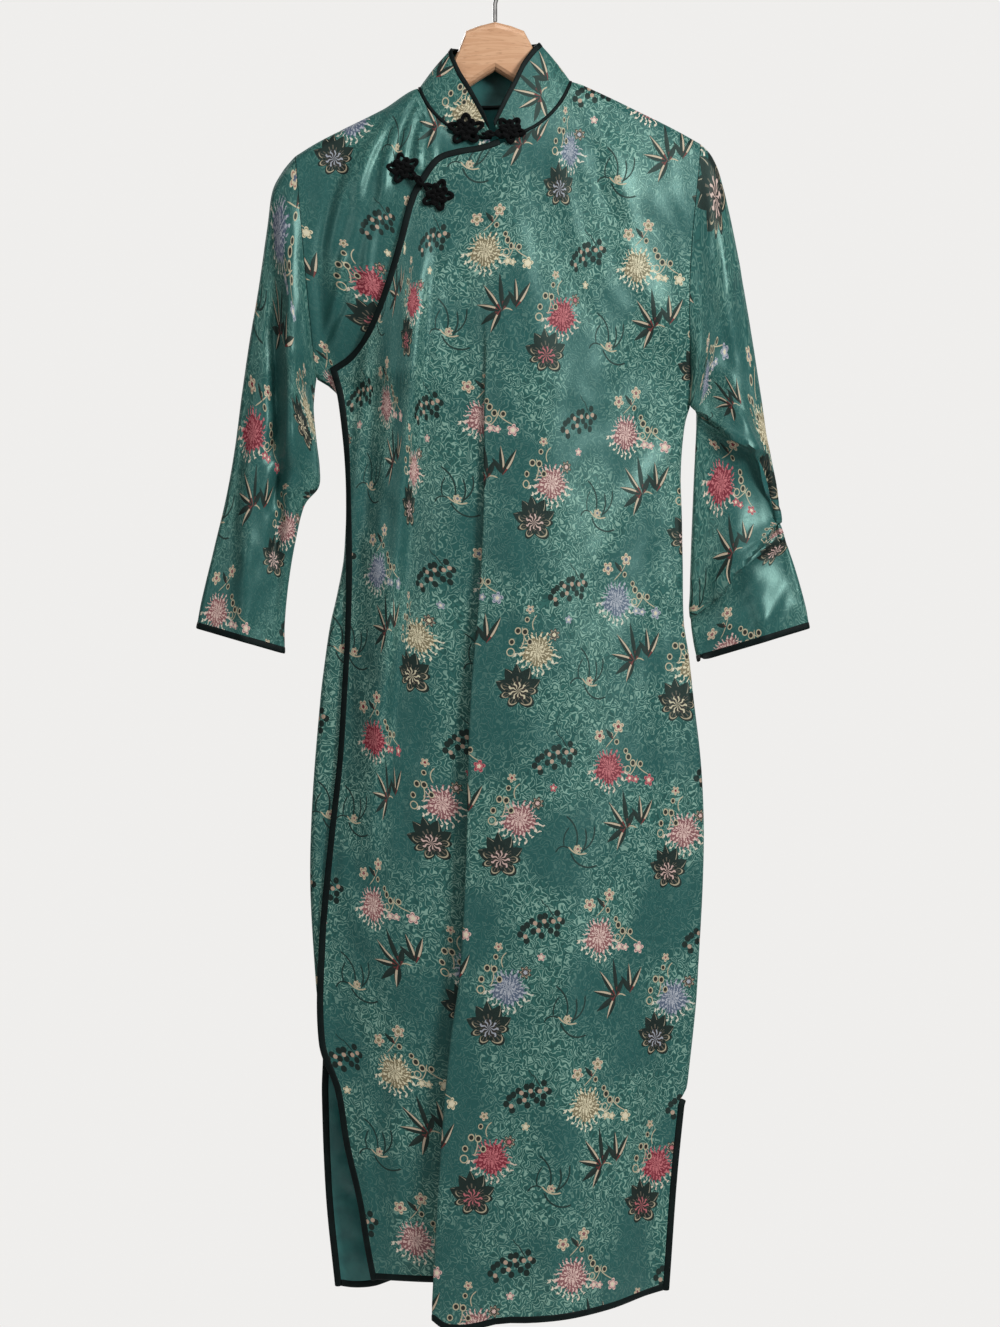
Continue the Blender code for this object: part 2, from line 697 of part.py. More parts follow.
def square_out(direction, sign):
    return direction if direction.x * sign > 0 else -direction


def square_up(direction):
    return direction if direction.z > 0 else -direction


def front_bindings(grid, normals, flat):
    rows, last = len(grid), len(grid[0]) - 1
    seam_end = max(j for j in range(last) if flat[0][j][0] < 6)
    picks = [(0, j) for j in range(seam_end, -1, -1)] + [(i, 0) for i in range(1, rows)]
    rail, faces = edge_rail(grid, normals, picks)
    away = [Vector((-0.4, 0, 1)) if i == 0 else Vector((-1, 0, 0)) for i, j in picks]
    edging("front_overlap_binding", rail, faces, away, end_extra=(0, BINDING_ROOM))
    picks = [(rows - 1, j) for j in range(last + 1)]
    rail, faces = edge_rail(grid, normals, picks)
    edging("front_hem_binding", rail, faces, [Vector((0, 0, -1))] * len(rail), trim=True)
    first = min(i for i in range(rows) if flat[i][last][1] > SLIT_TOP_RIGHT + 6)
    rail, faces = edge_rail(grid, normals, [(i, last) for i in range(first, rows)])
    edging("front_slit_binding", rail, faces, [Vector((1, 0, 0))] * len(rail), end_extra=(0, BINDING_ROOM))


def underlap_front():
    """The small front piece of the left shoulder, which lies under the curved edge."""
    neck = neck_outline(-NECK_HALF_WIDTH, -2, NECK_FRONT_SAG, NECK_ROOM)
    top_line = shoulder_line(-199, neck[0][0] - 1) + neck
    hidden = [(-179, 425), (-171, 428.5), (-163, 433.5), (-156, 443), (-142, 441), (-124, 430), (-109, 400),
              (-95, 360), (-83, 315), (-70, 275), (-57, 255), (-39, 242), (-4, 228)]
    shares = [0, 0.05, 0.13, 0.24, 0.36, 0.46, 0.55, 0.6206, 0.629, 0.639, 0.655, 0.686, 0.74, 0.8, 0.87, 0.94,
              1]
    rows = [0.05, 0.13, 0.25, 0.4, 0.55, 0.7, 0.82, 0.9, 0.96, 1]
    grid = [[None] * len(shares) for _ in range(len(ROLL_ROWS) + len(rows))]
    seams = {}
    for j, share in enumerate(shares):
        def column(drop):
            return (armhole_x("left", drop) + SEAM_GAP) * (1 - share) - 5 * share
        top = settle(column, lambda x: outline_drop(top_line, x), 200)
        bottom = settle(column, lambda x: outline_drop(hidden, x), 300) if share else 425
        for i, drop in enumerate(row_drops(top, bottom, rows)):
            x = column(drop)
            on_shoulder = i == 0 and x < -NECK_HALF_WIDTH - 3
            y = -max(bodice_front(x, drop), SEAM_GAP / 2)
            grid[i][j] = vec(x, y, drop)
            if j == 0:
                seams[(i, j)] = seam_face("left", drop, True)
            elif i == len(grid) - 1 and side_distance(x, drop) < 4:
                seams[(i, j)] = Vector((-0.6, 0, -0.8))
            elif on_shoulder:
                seams[(i, j)] = None
    for (i, j), direction in list(seams.items()):
        if direction is None:
            seams[(i, j)] = square_up(plane_normal(grid[0], j))
    wall("underlap_front", grid, "brocade", outward=-1, seams=seams)


def side_placket():
    """Strip along the left side seam that the front's bound edge closes over."""
    drops = [PLACKET_TOP, 470, 508, 560, 610, 650, 690, 740, 800, 860, 930, 1000, 1050, SLIT_TOP_LEFT - 1]
    shares = [0, 0.04, 0.12, 0.25, 0.5, 1]
    grid, seams = [], {}
    for i, drop in enumerate(drops):
        left, right = at(SIDE_LEFT, "x", drop), at(FRONT_LEFT, "x", drop) + 24
        line = []
        for share in shares:
            x = left + (right - left) * share
            line.append(vec(x, -max(bodice_front(x, drop), SEAM_GAP / 2), drop))
        grid.append(line)
    edge = [line[0] for line in grid]
    for i in range(len(drops)):
        seams[(i, 0)] = square_out(plane_normal(edge, i), -1)
    wall("side_placket", grid, "brocade", outward=-1, seams=seams)


def back_panel():
    neck = neck_outline(-NECK_HALF_WIDTH, NECK_HALF_WIDTH, NECK_BACK_SAG, NECK_ROOM)
    top_line = shoulder_line(-199, neck[0][0] - 1) + neck + shoulder_line(neck[-1][0] + 1, 205)
    shares = [0, 0.008, 0.02, 0.06, 0.13, 0.21, 0.26, 0.2975, 0.302, 0.31, 0.33, 0.38, 0.44, 0.5, 0.56,
              0.61, 0.655, 0.675, 0.683, 0.6875, 0.72, 0.78, 0.86, 0.94, 0.98, 0.992, 1]
    last = len(shares) - 1
    rows = len(ROLL_ROWS) + len(ROWS_BACK)
    grid, flat = [[None] * len(shares) for _ in range(rows)], [[None] * len(shares) for _ in range(rows)]

    def column(share, drop):
        ends = []
        for side, outline, slit_top, sign in (
            ("left", SIDE_LEFT, SLIT_TOP_LEFT, 1),
            ("right", SIDE_RIGHT, SLIT_TOP_RIGHT, -1),
        ):
            slit = smooth((drop - slit_top + 6) / 20) * BINDING_ROOM
            below = drop >= ARMHOLE[side]["bottom"][1]
            edge = at(outline, "x", drop) if below else armhole_x(side, drop) + SEAM_GAP * sign
            ends.append(edge + sign * (slit + (3 * slit / BINDING_ROOM if side == "right" else 0)))
        return ends[0] + (ends[1] - ends[0]) * share

    for j, share in enumerate(shares):
        top = settle(lambda d: column(share, d), lambda x: outline_drop(top_line, x), 200)
        hem = settle(lambda d: column(share, d), lambda x: at(BACK_HEM, "drop", x, by="x"), 1320)
        bottom = hem - BINDING_ROOM
        for i, drop in enumerate(row_drops(top, bottom, ROWS_BACK)):
            x = column(share, drop)
            y = back_point(x, drop)[1]
            grid[i][j], flat[i][j] = vec(x, max(y, SEAM_GAP / 2), drop), (x, drop)
    seams = {}
    for j, side, sign, slit_top in ((0, "left", -1, SLIT_TOP_LEFT), (last, "right", 1, SLIT_TOP_RIGHT)):
        edge = [line[j] for line in grid]
        for i in range(rows):
            drop = flat[i][j][1]
            if drop <= ARMHOLE[side]["bottom"][1] + 1:
                seams[(i, j)] = seam_face(side, drop, False)
            elif drop < slit_top - 6:
                seams[(i, j)] = square_out(plane_normal(edge, i), sign)
    for j in range(1, last):
        if abs(flat[0][j][0]) > NECK_HALF_WIDTH + 2:
            seams[(0, j)] = square_up(plane_normal(grid[0], j))
    normals = wall("back_panel", grid, "brocade", seams=seams)
    for name, j, sign, slit_top in (
        ("back_slit_binding_left", 0, -1, SLIT_TOP_LEFT),
        ("back_slit_binding_right", last, 1, SLIT_TOP_RIGHT),
    ):
        first = min(i for i in range(rows) if flat[i][j][1] > slit_top + 6)
        rail, faces = edge_rail(grid, normals, [(i, j) for i in range(first, rows)])
        edging(name, rail, faces, [Vector((sign, 0, 0))] * len(rail), end_extra=(0, BINDING_ROOM))
    rail, faces = edge_rail(grid, normals, [(rows - 1, j) for j in range(last + 1)])
    edging("back_hem_binding", rail, faces, [Vector((0, 0, -1))] * len(rail), trim=True)


def sleeve_ring(side, ring, part):
    """Points of one ring: from the outer end round the front to the inner end and back."""
    row = dict(zip(RING_COLUMNS, ring))
    outer, inner = (row["outer_x"], row["outer_drop"]), (row["inner_x"], row["inner_drop"])
    length = math.hypot(inner[0] - outer[0], inner[1] - outer[1])
    toward = ((inner[0] - outer[0]) / length, (inner[1] - outer[1]) / length)
    sign = ARMHOLE[side]["outward"]
    ahead = (toward[1] * sign, -toward[0] * sign)
    points = []
    roll = SHOULDER_ROLL + (SIDE_ROLL - SHOULDER_ROLL) * smooth(part * 2.5)
    for k in range(SLEEVE_SIDES):
        angle = 2 * math.pi * k / SLEEVE_SIDES
        share = (1 - math.cos(angle)) / 2
        front = math.sin(angle) > 1e-9
        x, drop = outer[0] + (inner[0] - outer[0]) * share, outer[1] + (inner[1] - outer[1]) * share
        window = max(math.sin(math.pi * share), 0)
        if ring[0] == ARMHOLE[side]["top"][0]:
            x, drop = armhole(side, share)
            x += sign * SEAM_GAP
            depth = bodice_front(x, drop) if front else bodice_back(x, drop)
        else:
            full = row["front"] if front else row["back"]
            a = swell(share * length, roll * full / 24, full, 60)
            b = swell((1 - share) * length, SIDE_ROLL * full / 24, full, 60)
            depth = max(-3 * math.log(math.exp(-a / 3) + math.exp(-b / 3)), 0) if 0 < share < 1 else 0
            if front:
                bow, shift = row["bow"] * window**2, row["shift"] * window**2
                x += ahead[0] * bow + SLEEVE_LEAN * sign * shift
                drop += ahead[1] * bow + shift
                depth += fold_height(SLEEVE_FOLDS[side], x, drop) * window
        points.append(vec(x, -depth if front else depth, drop))
    return points


def sleeve(side, rings):
    shown = [sleeve_ring(side, ring, i / (len(rings) - 1)) for i, ring in enumerate(rings)]
    ends = [Vector(p) for p in shown[-1]]
    for k, point in enumerate(shown[-1]):
        back = (shown[-2][k] - point).normalized() * BINDING_ROOM * MM
        shown[-1][k] = point + back
    seams = {}
    for k in range(SLEEVE_SIDES):
        angle = 2 * math.pi * k / SLEEVE_SIDES
        angle = angle - 2 * math.pi if angle > math.pi else angle
        seams[(0, k)] = ring_direction(side, angle, bodice_front, bodice_back)
    outward = ARMHOLE[side]["outward"]
    normals = wall("sleeve_" + side, shown, "brocade", closed=True, outward=outward, seams=seams)
    away = [(end - point).normalized() for end, point in zip(ends, shown[-1])]
    edging("cuff_binding_" + side, shown[-1], normals[-1], away, closed=True)


def collar_base(x, face):
    drop = neck_drop(x, NECK_FRONT_SAG if face == "front" else NECK_BACK_SAG)
    if face == "back":
        return vec(x, bodice_back(x, drop), drop)
    lift = LAP_LIFT * lap_lift(x) * smooth((x + 10) / 20)
    return vec(x, -bodice_front(x, drop) - lift, drop)


def curve_through(points, steps):
    """Smooth line through points, with steps points for each stretch."""
    line = []
    for i in range(len(points) - 1):
        a, b, c, d = (points[min(max(i + k, 0), len(points) - 1)] for k in (-1, 0, 1, 2))
        for s in range(steps):
            u = s / steps
            square, cube = 2 * a - 5 * b + 4 * c - d, 3 * b - 3 * c + d - a
            line.append(0.5 * (2 * b + (c - a) * u + square * u * u + cube * u**3))
    return line + [points[-1]]


def collar():
    base, top = [], []
    for row in COLLAR:
        rib = dict(zip(COLLAR_COLUMNS, row))
        base.append(collar_base(rib["base_x"], rib["face"]))
        top.append(vec(rib["top_x"], rib["top_y"], rib["top_drop"]))
    base, top = curve_through(base, 2), curve_through(top, 2)
    tube("neck_seam_piping", base, PIPING_RADIUS, 6, "binding")
    grid = [[], [], []]
    for low, high in zip(base, top):
        rise = high - low
        start = low + rise.normalized() * NECK_ROOM * MM
        end = high - rise.normalized() * BINDING_ROOM * 0.8 * MM
        for k, line in enumerate(grid):
            line.append(start.lerp(end, k / 2))
    normals = wall("collar_band", grid, "brocade", outward=-1)
    rows = []
    for low, high in zip(base, top):
        rise = (high - low).normalized()
        rows.append([high - rise * (BINDING_ROOM * 0.8 - SEAM_GAP) * MM, high])
    seams = {(i, j): normals[2][i] for i in range(len(rows)) for j in (0, 1)}
    wall("collar_binding", rows, "binding", BINDING_WALL, seams=seams)


# frogs and hanger
def cloth_trees():
    trees = []
    for solid in bpy.data.objects:
        if solid.type == "MESH" and not solid.name.startswith(("hanger", "frog")):
            points = [v.co.copy() for v in solid.data.vertices]
            trees.append(BVHTree.FromPolygons(points, [tuple(p.vertices) for p in solid.data.polygons]))
    return trees


def cloth_front(trees, x, drop):
    """Foremost cloth under a point."""
    start, nearest = vec(x, -200, drop), None
    for tree in trees:
        hit = tree.ray_cast(start, Vector((0, 1, 0)), 0.23)[0]
        if hit and (nearest is None or hit.y < nearest):
            nearest = hit.y
    return nearest


def petal_rim(spec, share, turn):
    """Point of a flower's outline, from its middle."""
    lobe = 0.86 + 0.14 * abs(math.cos(PETALS / 2 * turn)) if share > 0.5 else 0.95
    reach = spec["radius"] * share * lobe
    return reach * math.cos(turn + spec["turn"]), reach * math.sin(turn + spec["turn"]) * spec["stretch"]


def resting_plane(trees, spec):
    """Plane just in front of the cloth under an outline: y = height + a x + b drop, from its middle."""
    samples = []
    for ring in range(5):
        for k in range(FLOWER_SIDES):
            dx, dd = petal_rim(spec, ring / 4, 2 * math.pi * k / FLOWER_SIDES)
            y = cloth_front(trees, spec["x"] + dx, spec["drop"] + dd)
            if y is not None:
                samples.append((dx, dd, y / MM))
    foremost = min(sample[2] for sample in samples)
    rows = np.array([sample for sample in samples if sample[2] < foremost + FROG_REACH])
    fit = np.linalg.lstsq(np.c_[rows[:, :2], np.ones(len(rows))], rows[:, 2], rcond=None)[0]
    lowest = min(rows[:, 2] - rows[:, 0] * fit[0] - rows[:, 1] * fit[1])
    return fit[0], fit[1], lowest - SEAM_GAP


def flower(row, trees):
    spec = dict(zip(FROG_COLUMNS, row))
    slope_x, slope_drop, height = resting_plane(trees, spec)
    sides, levels = FLOWER_SIDES, ((1.0, 0.0), (1.0, 0.35), (0.82, 0.85), (0.45, 1.0), (0.18, 0.8))
    points, faces = [], []
    for share, rise in levels:
        for k in range(sides):
            dx, dd = petal_rim(spec, share, 2 * math.pi * k / sides)
            y = height + slope_x * dx + slope_drop * dd - FLOWER_HEIGHT * rise
            points.append(vec(spec["x"] + dx, y, spec["drop"] + dd))
    for i in range(len(levels) - 1):
        for k in range(sides):
            a, b = i * sides + k, i * sides + (k + 1) % sides
            faces.append((a, b, b + sides, a + sides))
    last = (len(levels) - 1) * sides
    faces.append(tuple(range(sides - 1, -1, -1)))
    faces.append(tuple(range(last, last + sides)))
    make_solid(spec["name"], points, faces, "frog")


def knot(name, start, end, radius, trees):
    """Ball knot in its loop, drawn out along the fastening."""
    centre = ((start[0] + end[0]) / 2, (start[1] + end[1]) / 2)
    outline = {"x": centre[0], "drop": centre[1], "radius": radius + 1, "stretch": 1, "turn": 0}
    height = resting_plane(trees, outline)[2] - radius
    line, taper = [], []
    length = math.hypot(end[0] - start[0], end[1] - start[1])
    along = ((end[0] - start[0]) / length, (end[1] - start[1]) / length)
    for i in range(9):
        turn = math.pi * (0.06 + 0.88 * i / 8)
        out = -math.cos(turn) * (length / 2 + radius * 0.7)
        line.append(vec(centre[0] + along[0] * out, height, centre[1] + along[1] * out))
        taper.append(math.sin(turn) ** 0.7)
    tube(name, line, radius, 10, "frog", taper)


def hanger_section(x, row):
    top = row["top"] if row["top"] is not None else shoulder(x) + SHOULDER_ROOM
    if row["top"] is not None and x > 0 and row["reach"] > 30:
        top -= 5
    if row["reach"] > 185:
        top += 2 if row["reach"] < 192 else 7
    half, height = row["half_thickness"], row["height"]
    round_part = min(half, height / 2)
    points = []
    for k in range(HANGER_SIDES):
        turn = 2 * math.pi * (k + 0.5) / HANGER_SIDES
        middle = top + round_part if math.sin(turn) > 0 else top + height - round_part
        points.append(vec(x, half * math.cos(turn), middle - round_part * math.sin(turn)))
    return points


def hanger():
    rows = [dict(zip(HANGER_COLUMNS, row)) for row in HANGER]
    sections = [hanger_section(-row["reach"], row) for row in reversed(rows)]
    sections += [hanger_section(row["reach"], row) for row in rows[1:]]
    points, faces = [p for s in sections for p in s], []
    sides = HANGER_SIDES
    for i in range(len(sections) - 1):
        for k in range(sides):
            a, b = i * sides + k, i * sides + (k + 1) % sides
            faces.append((a, b, b + sides, a + sides))
    last = (len(sections) - 1) * sides
    faces.append(tuple(range(sides - 1, -1, -1)))
    faces.append(tuple(range(last, last + sides)))
    make_solid("hanger_body", points, faces, "wood")


def hanger_hook():
    radius = HOOK_INNER_RADIUS + HOOK_WIRE_RADIUS
    line = [vec(0, 0, HANGER_TOP - SEAM_GAP - 0.1), vec(0, 0, 60), vec(0, 0, 52), vec(2, 0, 45)]
    for i in range(21):
        turn = math.radians(-62 + 262 * i / 20)
        line.append(vec(radius * math.cos(turn), 0, HOOK_INNER_RADIUS - radius * math.sin(turn)))
    tube("hanger_hook", line, HOOK_WIRE_RADIUS, 8, "steel")


def main():
    clear_scene()
    front_bindings(*front_panel())
    underlap_front()
    side_placket()
    back_panel()
    sleeve("left", LEFT_RINGS)
    sleeve("right", RIGHT_RINGS)
    collar()
    trees = cloth_trees()
    for row in FLOWERS:
        flower(row, trees)
    for row in KNOTS:
        knot(*row, trees)
    hanger()
    hanger_hook()


main()
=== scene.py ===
import math
import bpy
import numpy as np
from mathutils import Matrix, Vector


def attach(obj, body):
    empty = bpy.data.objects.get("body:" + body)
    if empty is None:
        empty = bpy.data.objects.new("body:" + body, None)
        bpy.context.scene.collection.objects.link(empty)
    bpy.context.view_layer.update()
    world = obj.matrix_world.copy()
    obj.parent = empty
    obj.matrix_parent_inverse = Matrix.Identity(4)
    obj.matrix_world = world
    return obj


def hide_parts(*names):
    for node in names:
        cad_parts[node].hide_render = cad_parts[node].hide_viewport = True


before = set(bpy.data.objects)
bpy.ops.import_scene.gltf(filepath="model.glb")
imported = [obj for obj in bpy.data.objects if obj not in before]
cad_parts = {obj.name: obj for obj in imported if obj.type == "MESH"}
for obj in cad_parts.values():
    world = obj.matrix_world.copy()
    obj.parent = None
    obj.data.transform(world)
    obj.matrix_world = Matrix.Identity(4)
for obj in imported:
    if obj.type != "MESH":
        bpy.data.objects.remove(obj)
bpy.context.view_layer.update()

print("frame loaded")

# All tables are in millimetres: x to the right, drop below the hook's inside top, y to the back.
mm = 0.001
seamGap = 0.3
clothWall = 1.6

# binding: room is what it takes of a panel's edge, over how far it laps onto the cloth
binding = {
    "width": 5.7, "thickness": 2.6, "room": 6.3, "over": 1.1, "sides": 10, "corner": 0.6,
    "sharpest": 0.55, "trimLow": 0.9, "trimHigh": 2.6, "collarShare": 0.8,
}

# neck seam: half width, how far it sags in front and at the back, room for the piping, drop at each side, how
# near the middle each front starts, and how far past it the shoulders do
neck = {
    "halfWidth": 75, "frontSag": 56, "backSag": 19, "room": 1.9, "left": 137, "right": 131,
    "middle": 2, "past": 2,
}

# body of the dress: depths, rolls of its edges, its lap at the left, tops of the slits and the flare there
body = {
    "frontDepth": 34, "backDepth": 28, "shoulderRoll": 14, "sideRoll": 7, "rounding": 3,
    "lapLift": 3.6, "lapEdge": 11.5, "lapEnd": 5, "lapFade": 80, "spreadDown": 90, "spreadIn": 120,
    "armHollow": 10, "hollowIn": 110, "hollowFrom": 420, "hollowDown": 160,
    "slitLeft": 1093, "slitRight": 1138, "slitEase": 6, "slitBlend": 20, "flareFrom": 100,
    "flareFront": 7, "flareFrontDown": 180, "flareFrontIn": 70,
    "flareBack": 5, "flareBackDown": 160, "flareBackIn": 60,
}

# where folds die away: within these distances of a side seam, of the shoulder and of a slit's top
fades = {"side": 34, "shoulderFrom": 20, "shoulder": 60, "slit": 120}

# armholes: ends (x, drop), how far they bow, and which way is out
armholes = {
    "left": {"top": (-199, 205), "bottom": (-179, 426), "bow": 0, "outward": -1},
    "right": {"top": (205, 193), "bottom": (195, 452), "bow": -6, "outward": 1},
}

shoulderRidge = {
    "x": [-199, -178, -149, -111, -75, 75, 100, 148, 180, 205],
    "drop": [205, 192, 177, 158, 137, 131, 140, 163, 179, 193],
}

overlapEdge = {
    "x": [-164, -142, -124, -109, -95, -83, -70, -57, -39, -12, 10],
    "drop": [420, 405, 380, 344, 299, 253, 229, 212, 205, 200, 192],
}

sideLeft = {
    "drop": [426, 436, 448, 508, 601, 642, 673, 714, 748, 850, 932, 1023, 1096, 1142, 1246, 1335],
    "x": [-179, -163, -154, -148, -150, -157, -164, -170, -174, -182, -184, -179, -173, -174, -170, -161],
}
frontLeft = {
    "drop": [416, 448, 508, 601, 673, 748, 809, 891, 993, 1089, 1136, 1190, 1246, 1294, 1330],
    "x": [-165, -157, -151, -149, -150, -154, -158, -167, -176, -176, -160, -151, -138, -130, -123],
}
sideRight = {
    "drop": [452, 473, 520, 561, 612, 669, 703, 748, 809, 870, 932, 1006, 1054, 1138, 1225, 1334],
    "x": [195, 189, 185, 186, 187, 188, 193, 198, 205, 208, 207, 203, 200, 191, 182, 174],
}
frontHem = {
    "x": [-59, -47, -28, -15, 5, 37, 79, 118, 152, 174],
    "drop": [1357, 1365, 1366, 1363, 1358, 1357, 1353, 1348, 1340, 1334],
    "leftLayer": 1324.5, "level": 1335,
}
backHem = {"x": [-161, -142, -122, -101, -60, 60, 174], "drop": [1335, 1338, 1337, 1331, 1327, 1330, 1326]}

# the large fold of the front: its edge, how far the right layer laps over, its depth and half width, then the
# drops from which its pull and depth grow, and what it leaves of the right side
mainFold = {
    "drop": [230, 330, 448, 608, 748, 898, 1018, 1090, 1225, 1340],
    "edge": [-8, -8, -8, -11, -22, -26, -32, -42, -53, -59],
    "lap": [-8, -6, 0, 12, 34, 50, 62, 72, 88, 98],
    "depth": [1, 7, 12, 18, 24, 28, 32, 34, 37, 40],
    "half": [14, 18, 24, 32, 44, 56, 66, 72, 76, 78],
    "pullFrom": 330, "depthFrom": 200, "growth": 120, "sideKept": 8,
}

# softer folds that run down the cloth: start, end, x at the start, middle and end, height, widths each side
downFolds = {
    "front": [
        (350, 640, -122, -134, -146, 6, 8, 8),
        (250, 950, -66, -98, -128, 19, 24, 8),
        (330, 700, -104, -108, -128, 6, 16, 9),
        (420, 1120, 150, 140, 168, 5, 30, 16),
        (880, 1420, 78, 62, 50, 7, 34, 22),
        (1000, 1420, 150, 130, 118, 6, 26, 20),
        (300, 800, 60, 50, 90, 4, 30, 40),
    ],
    "back": [
        (300, 1420, -40, -52, -70, 12, 26, 14),
        (420, 1420, 58, 64, 76, 10, 18, 30),
        (700, 1420, 0, 4, 2, 7, 20, 20),
        (380, 1200, -116, -120, -128, 6, 14, 22),
    ],
    "left": [
        (220, 720, -204, -202, -205, 12, 6, 13), (225, 690, -224, -219, -214, -15, 5.5, 6.5),
        (300, 740, -238, -245, -252, 8, 9, 9),
    ],
    "right": [(240, 520, 226, 236, 250, 6, 8, 10), (600, 740, 262, 270, 276, 5, 12, 12)],
}

# light creases: both ends (x, drop), height, half width
creases = {
    "front": [
        (82, 142, 122, 208, 2.6, 7), (118, 200, 176, 392, 3.0, 11), (96, 190, 140, 300, -2.6, 9),
        (60, 196, 88, 300, 1.2, 9), (20, 260, 60, 420, 1.3, 12), (150, 430, 110, 560, 1.6, 14),
        (176, 500, 96, 620, 1.8, 12), (180, 620, 120, 700, 1.4, 12), (-20, 520, -70, 640, 1.2, 9),
        (-120, 470, -92, 560, 1.6, 8), (-140, 560, -100, 640, 1.6, 8), (-150, 700, -96, 800, 1.8, 10),
        (-160, 880, -110, 1010, 1.8, 11), (-64, 760, -92, 900, -1.6, 8), (40, 760, 10, 980, 1.6, 14),
        (120, 820, 92, 1120, 2.0, 16), (18, 1020, -6, 1260, 1.8, 13), (-20, 1160, -30, 1350, 1.5, 9),
        (90, 1180, 100, 1350, 2.2, 12), (140, 1160, 150, 1340, 1.8, 9), (30, 1240, 34, 1355, -1.5, 9),
        (-90, 1080, -80, 1320, 1.8, 9), (-128, 1130, -112, 1320, 1.4, 7), (0, 560, 60, 700, 1.0, 14),
        (60, 1240, 64, 1356, 1.2, 6), (-45, 300, -58, 420, 1.4, 7), (30, 620, 100, 720, -1.0, 14),
    ],
    "underlap": [
        (-72, 150, -92, 222, 4.2, 4), (-66, 160, -76, 226, 3.8, 3.5), (-58, 176, -60, 222, 3.0, 3.5),
        (-84, 152, -112, 250, 4.6, 5), (-96, 158, -140, 260, 5.0, 6), (-120, 184, -166, 320, 4.6, 8),
        (-150, 215, -172, 390, -3.2, 8), (-128, 250, -158, 400, 3.8, 8), (-104, 230, -128, 350, 3.4, 6),
        (-172, 404, -140, 346, 3.4, 3.5), (-170, 392, -146, 318, -2.8, 3.5), (-168, 376, -150, 300, 3.0, 3.5),
    ],
    "left": [
        (-206, 260, -226, 380, 1.4, 7), (-190, 400, -240, 430, 1.4, 8), (-196, 470, -236, 560, 1.8, 8),
        (-230, 480, -252, 600, 1.4, 7), (-214, 590, -250, 680, 1.2, 7), (-186, 330, -204, 420, 1.2, 6),
    ],
    "right": [
        (214, 240, 232, 380, 1.6, 8), (206, 330, 222, 470, -1.4, 7), (236, 300, 252, 440, 1.4, 7),
        (226, 460, 262, 520, 1.8, 8), (250, 620, 280, 690, 1.3, 8), (222, 600, 240, 690, 1.2, 7),
        (236, 704, 290, 634, 1.8, 8), (212, 684, 250, 662, 1.5, 6), (272, 690, 300, 650, 1.4, 6),
    ],
    # folds that lap over: points along the edge, height, how far it reaches up from the edge
    "lapsRight": [
        ([(180, 436), (204, 460), (230, 483), (250, 495), (264, 506), (276, 540), (282, 572)], 5.0, 16),
        ([(281, 574), (262, 598), (240, 622), (222, 641), (193, 671)], 6.0, 15),
    ],
    "back": [
        (-150, 200, -90, 330, 1.6, 12), (160, 190, 96, 330, 1.6, 12), (-60, 170, 60, 176, 1.2, 8),
        (-120, 420, -40, 520, 1.6, 14), (130, 430, 40, 540, 1.6, 14), (-140, 640, -60, 700, 1.4, 12),
        (150, 640, 70, 720, 1.4, 12), (20, 800, 30, 1100, 1.8, 16), (-100, 900, -96, 1200, 1.8, 14),
        (110, 880, 116, 1220, 1.8, 14), (-20, 1100, -26, 1320, 1.6, 12), (150, 1160, 150, 1320, 1.4, 10),
        (-170, 1150, -128, 1168, 1.6, 5), (-170, 1204, -126, 1192, 1.8, 6), (-170, 1230, -122, 1252, 1.6, 5),
        (-168, 1290, -116, 1284, 1.5, 4), (-166, 1180, -150, 1300, 1.2, 6),
    ],
}


def smooth(value):
    value = min(max(value, 0.0), 1.0)
    return value * value * (3 - 2 * value)


# the same soft step on an array
def smoothAll(values):
    values = np.clip(values, 0, 1)
    return values * values * (3 - 2 * values)


# curve between two values that leaves and arrives at given slopes
def between(u, span, low, high, slopeLow, slopeHigh):
    start = (2 * u**3 - 3 * u**2 + 1) * low + (u**3 - 2 * u**2 + u) * span * slopeLow
    return start + (3 * u**2 - 2 * u**3) * high + (u**3 - u**2) * span * slopeHigh


# one column of a table at a value of another, with a soft curve through the rows
def at(table, key, value, by="drop"):
    xs, ys = table[by], table[key]
    if value <= xs[0] or value >= xs[-1]:
        return float(ys[0] if value <= xs[0] else ys[-1])
    i = int(np.searchsorted(xs, value)) - 1
    slopes = []
    for k in (i, i + 1):
        lo, hi = max(k - 1, 0), min(k + 1, len(xs) - 1)
        slopes.append((ys[hi] - ys[lo]) / (xs[hi] - xs[lo]))
    span = xs[i + 1] - xs[i]
    return float(between((value - xs[i]) / span, span, ys[i], ys[i + 1], *slopes))


def shoulder(x):
    return at(shoulderRidge, "drop", x, by="x")


# point (x, drop) of an armhole, from the shoulder (0) to under the arm (1)
def armhole(side, share):
    hole = armholes[side]
    (x0, d0), (x1, d1) = hole["top"], hole["bottom"]
    return x0 + (x1 - x0) * share + hole["bow"] * math.sin(math.pi * share) ** 1.5, d0 + (d1 - d0) * share


def armholeX(side, drop):
    d0, d1 = armholes[side]["top"][1], armholes[side]["bottom"][1]
    return armhole(side, min(max((drop - d0) / (d1 - d0), 0), 1))[0]


# how far cloth stands out at a distance from its folded edge
def swell(distance, roll, depth, spread):
    if distance <= 0:
        return 0.0
    near = 1 - min(distance / roll, 1)
    return roll * math.sqrt(1 - near * near) + (depth - roll) * smooth(distance / spread)


# the lesser of two depths, rounded where they meet
def softLeast(a, b):
    if min(a, b) <= 0:
        return 0.0
    r = body["rounding"]
    return max(-r * math.log(math.exp(-a / r) + math.exp(-b / r)), 0.0)


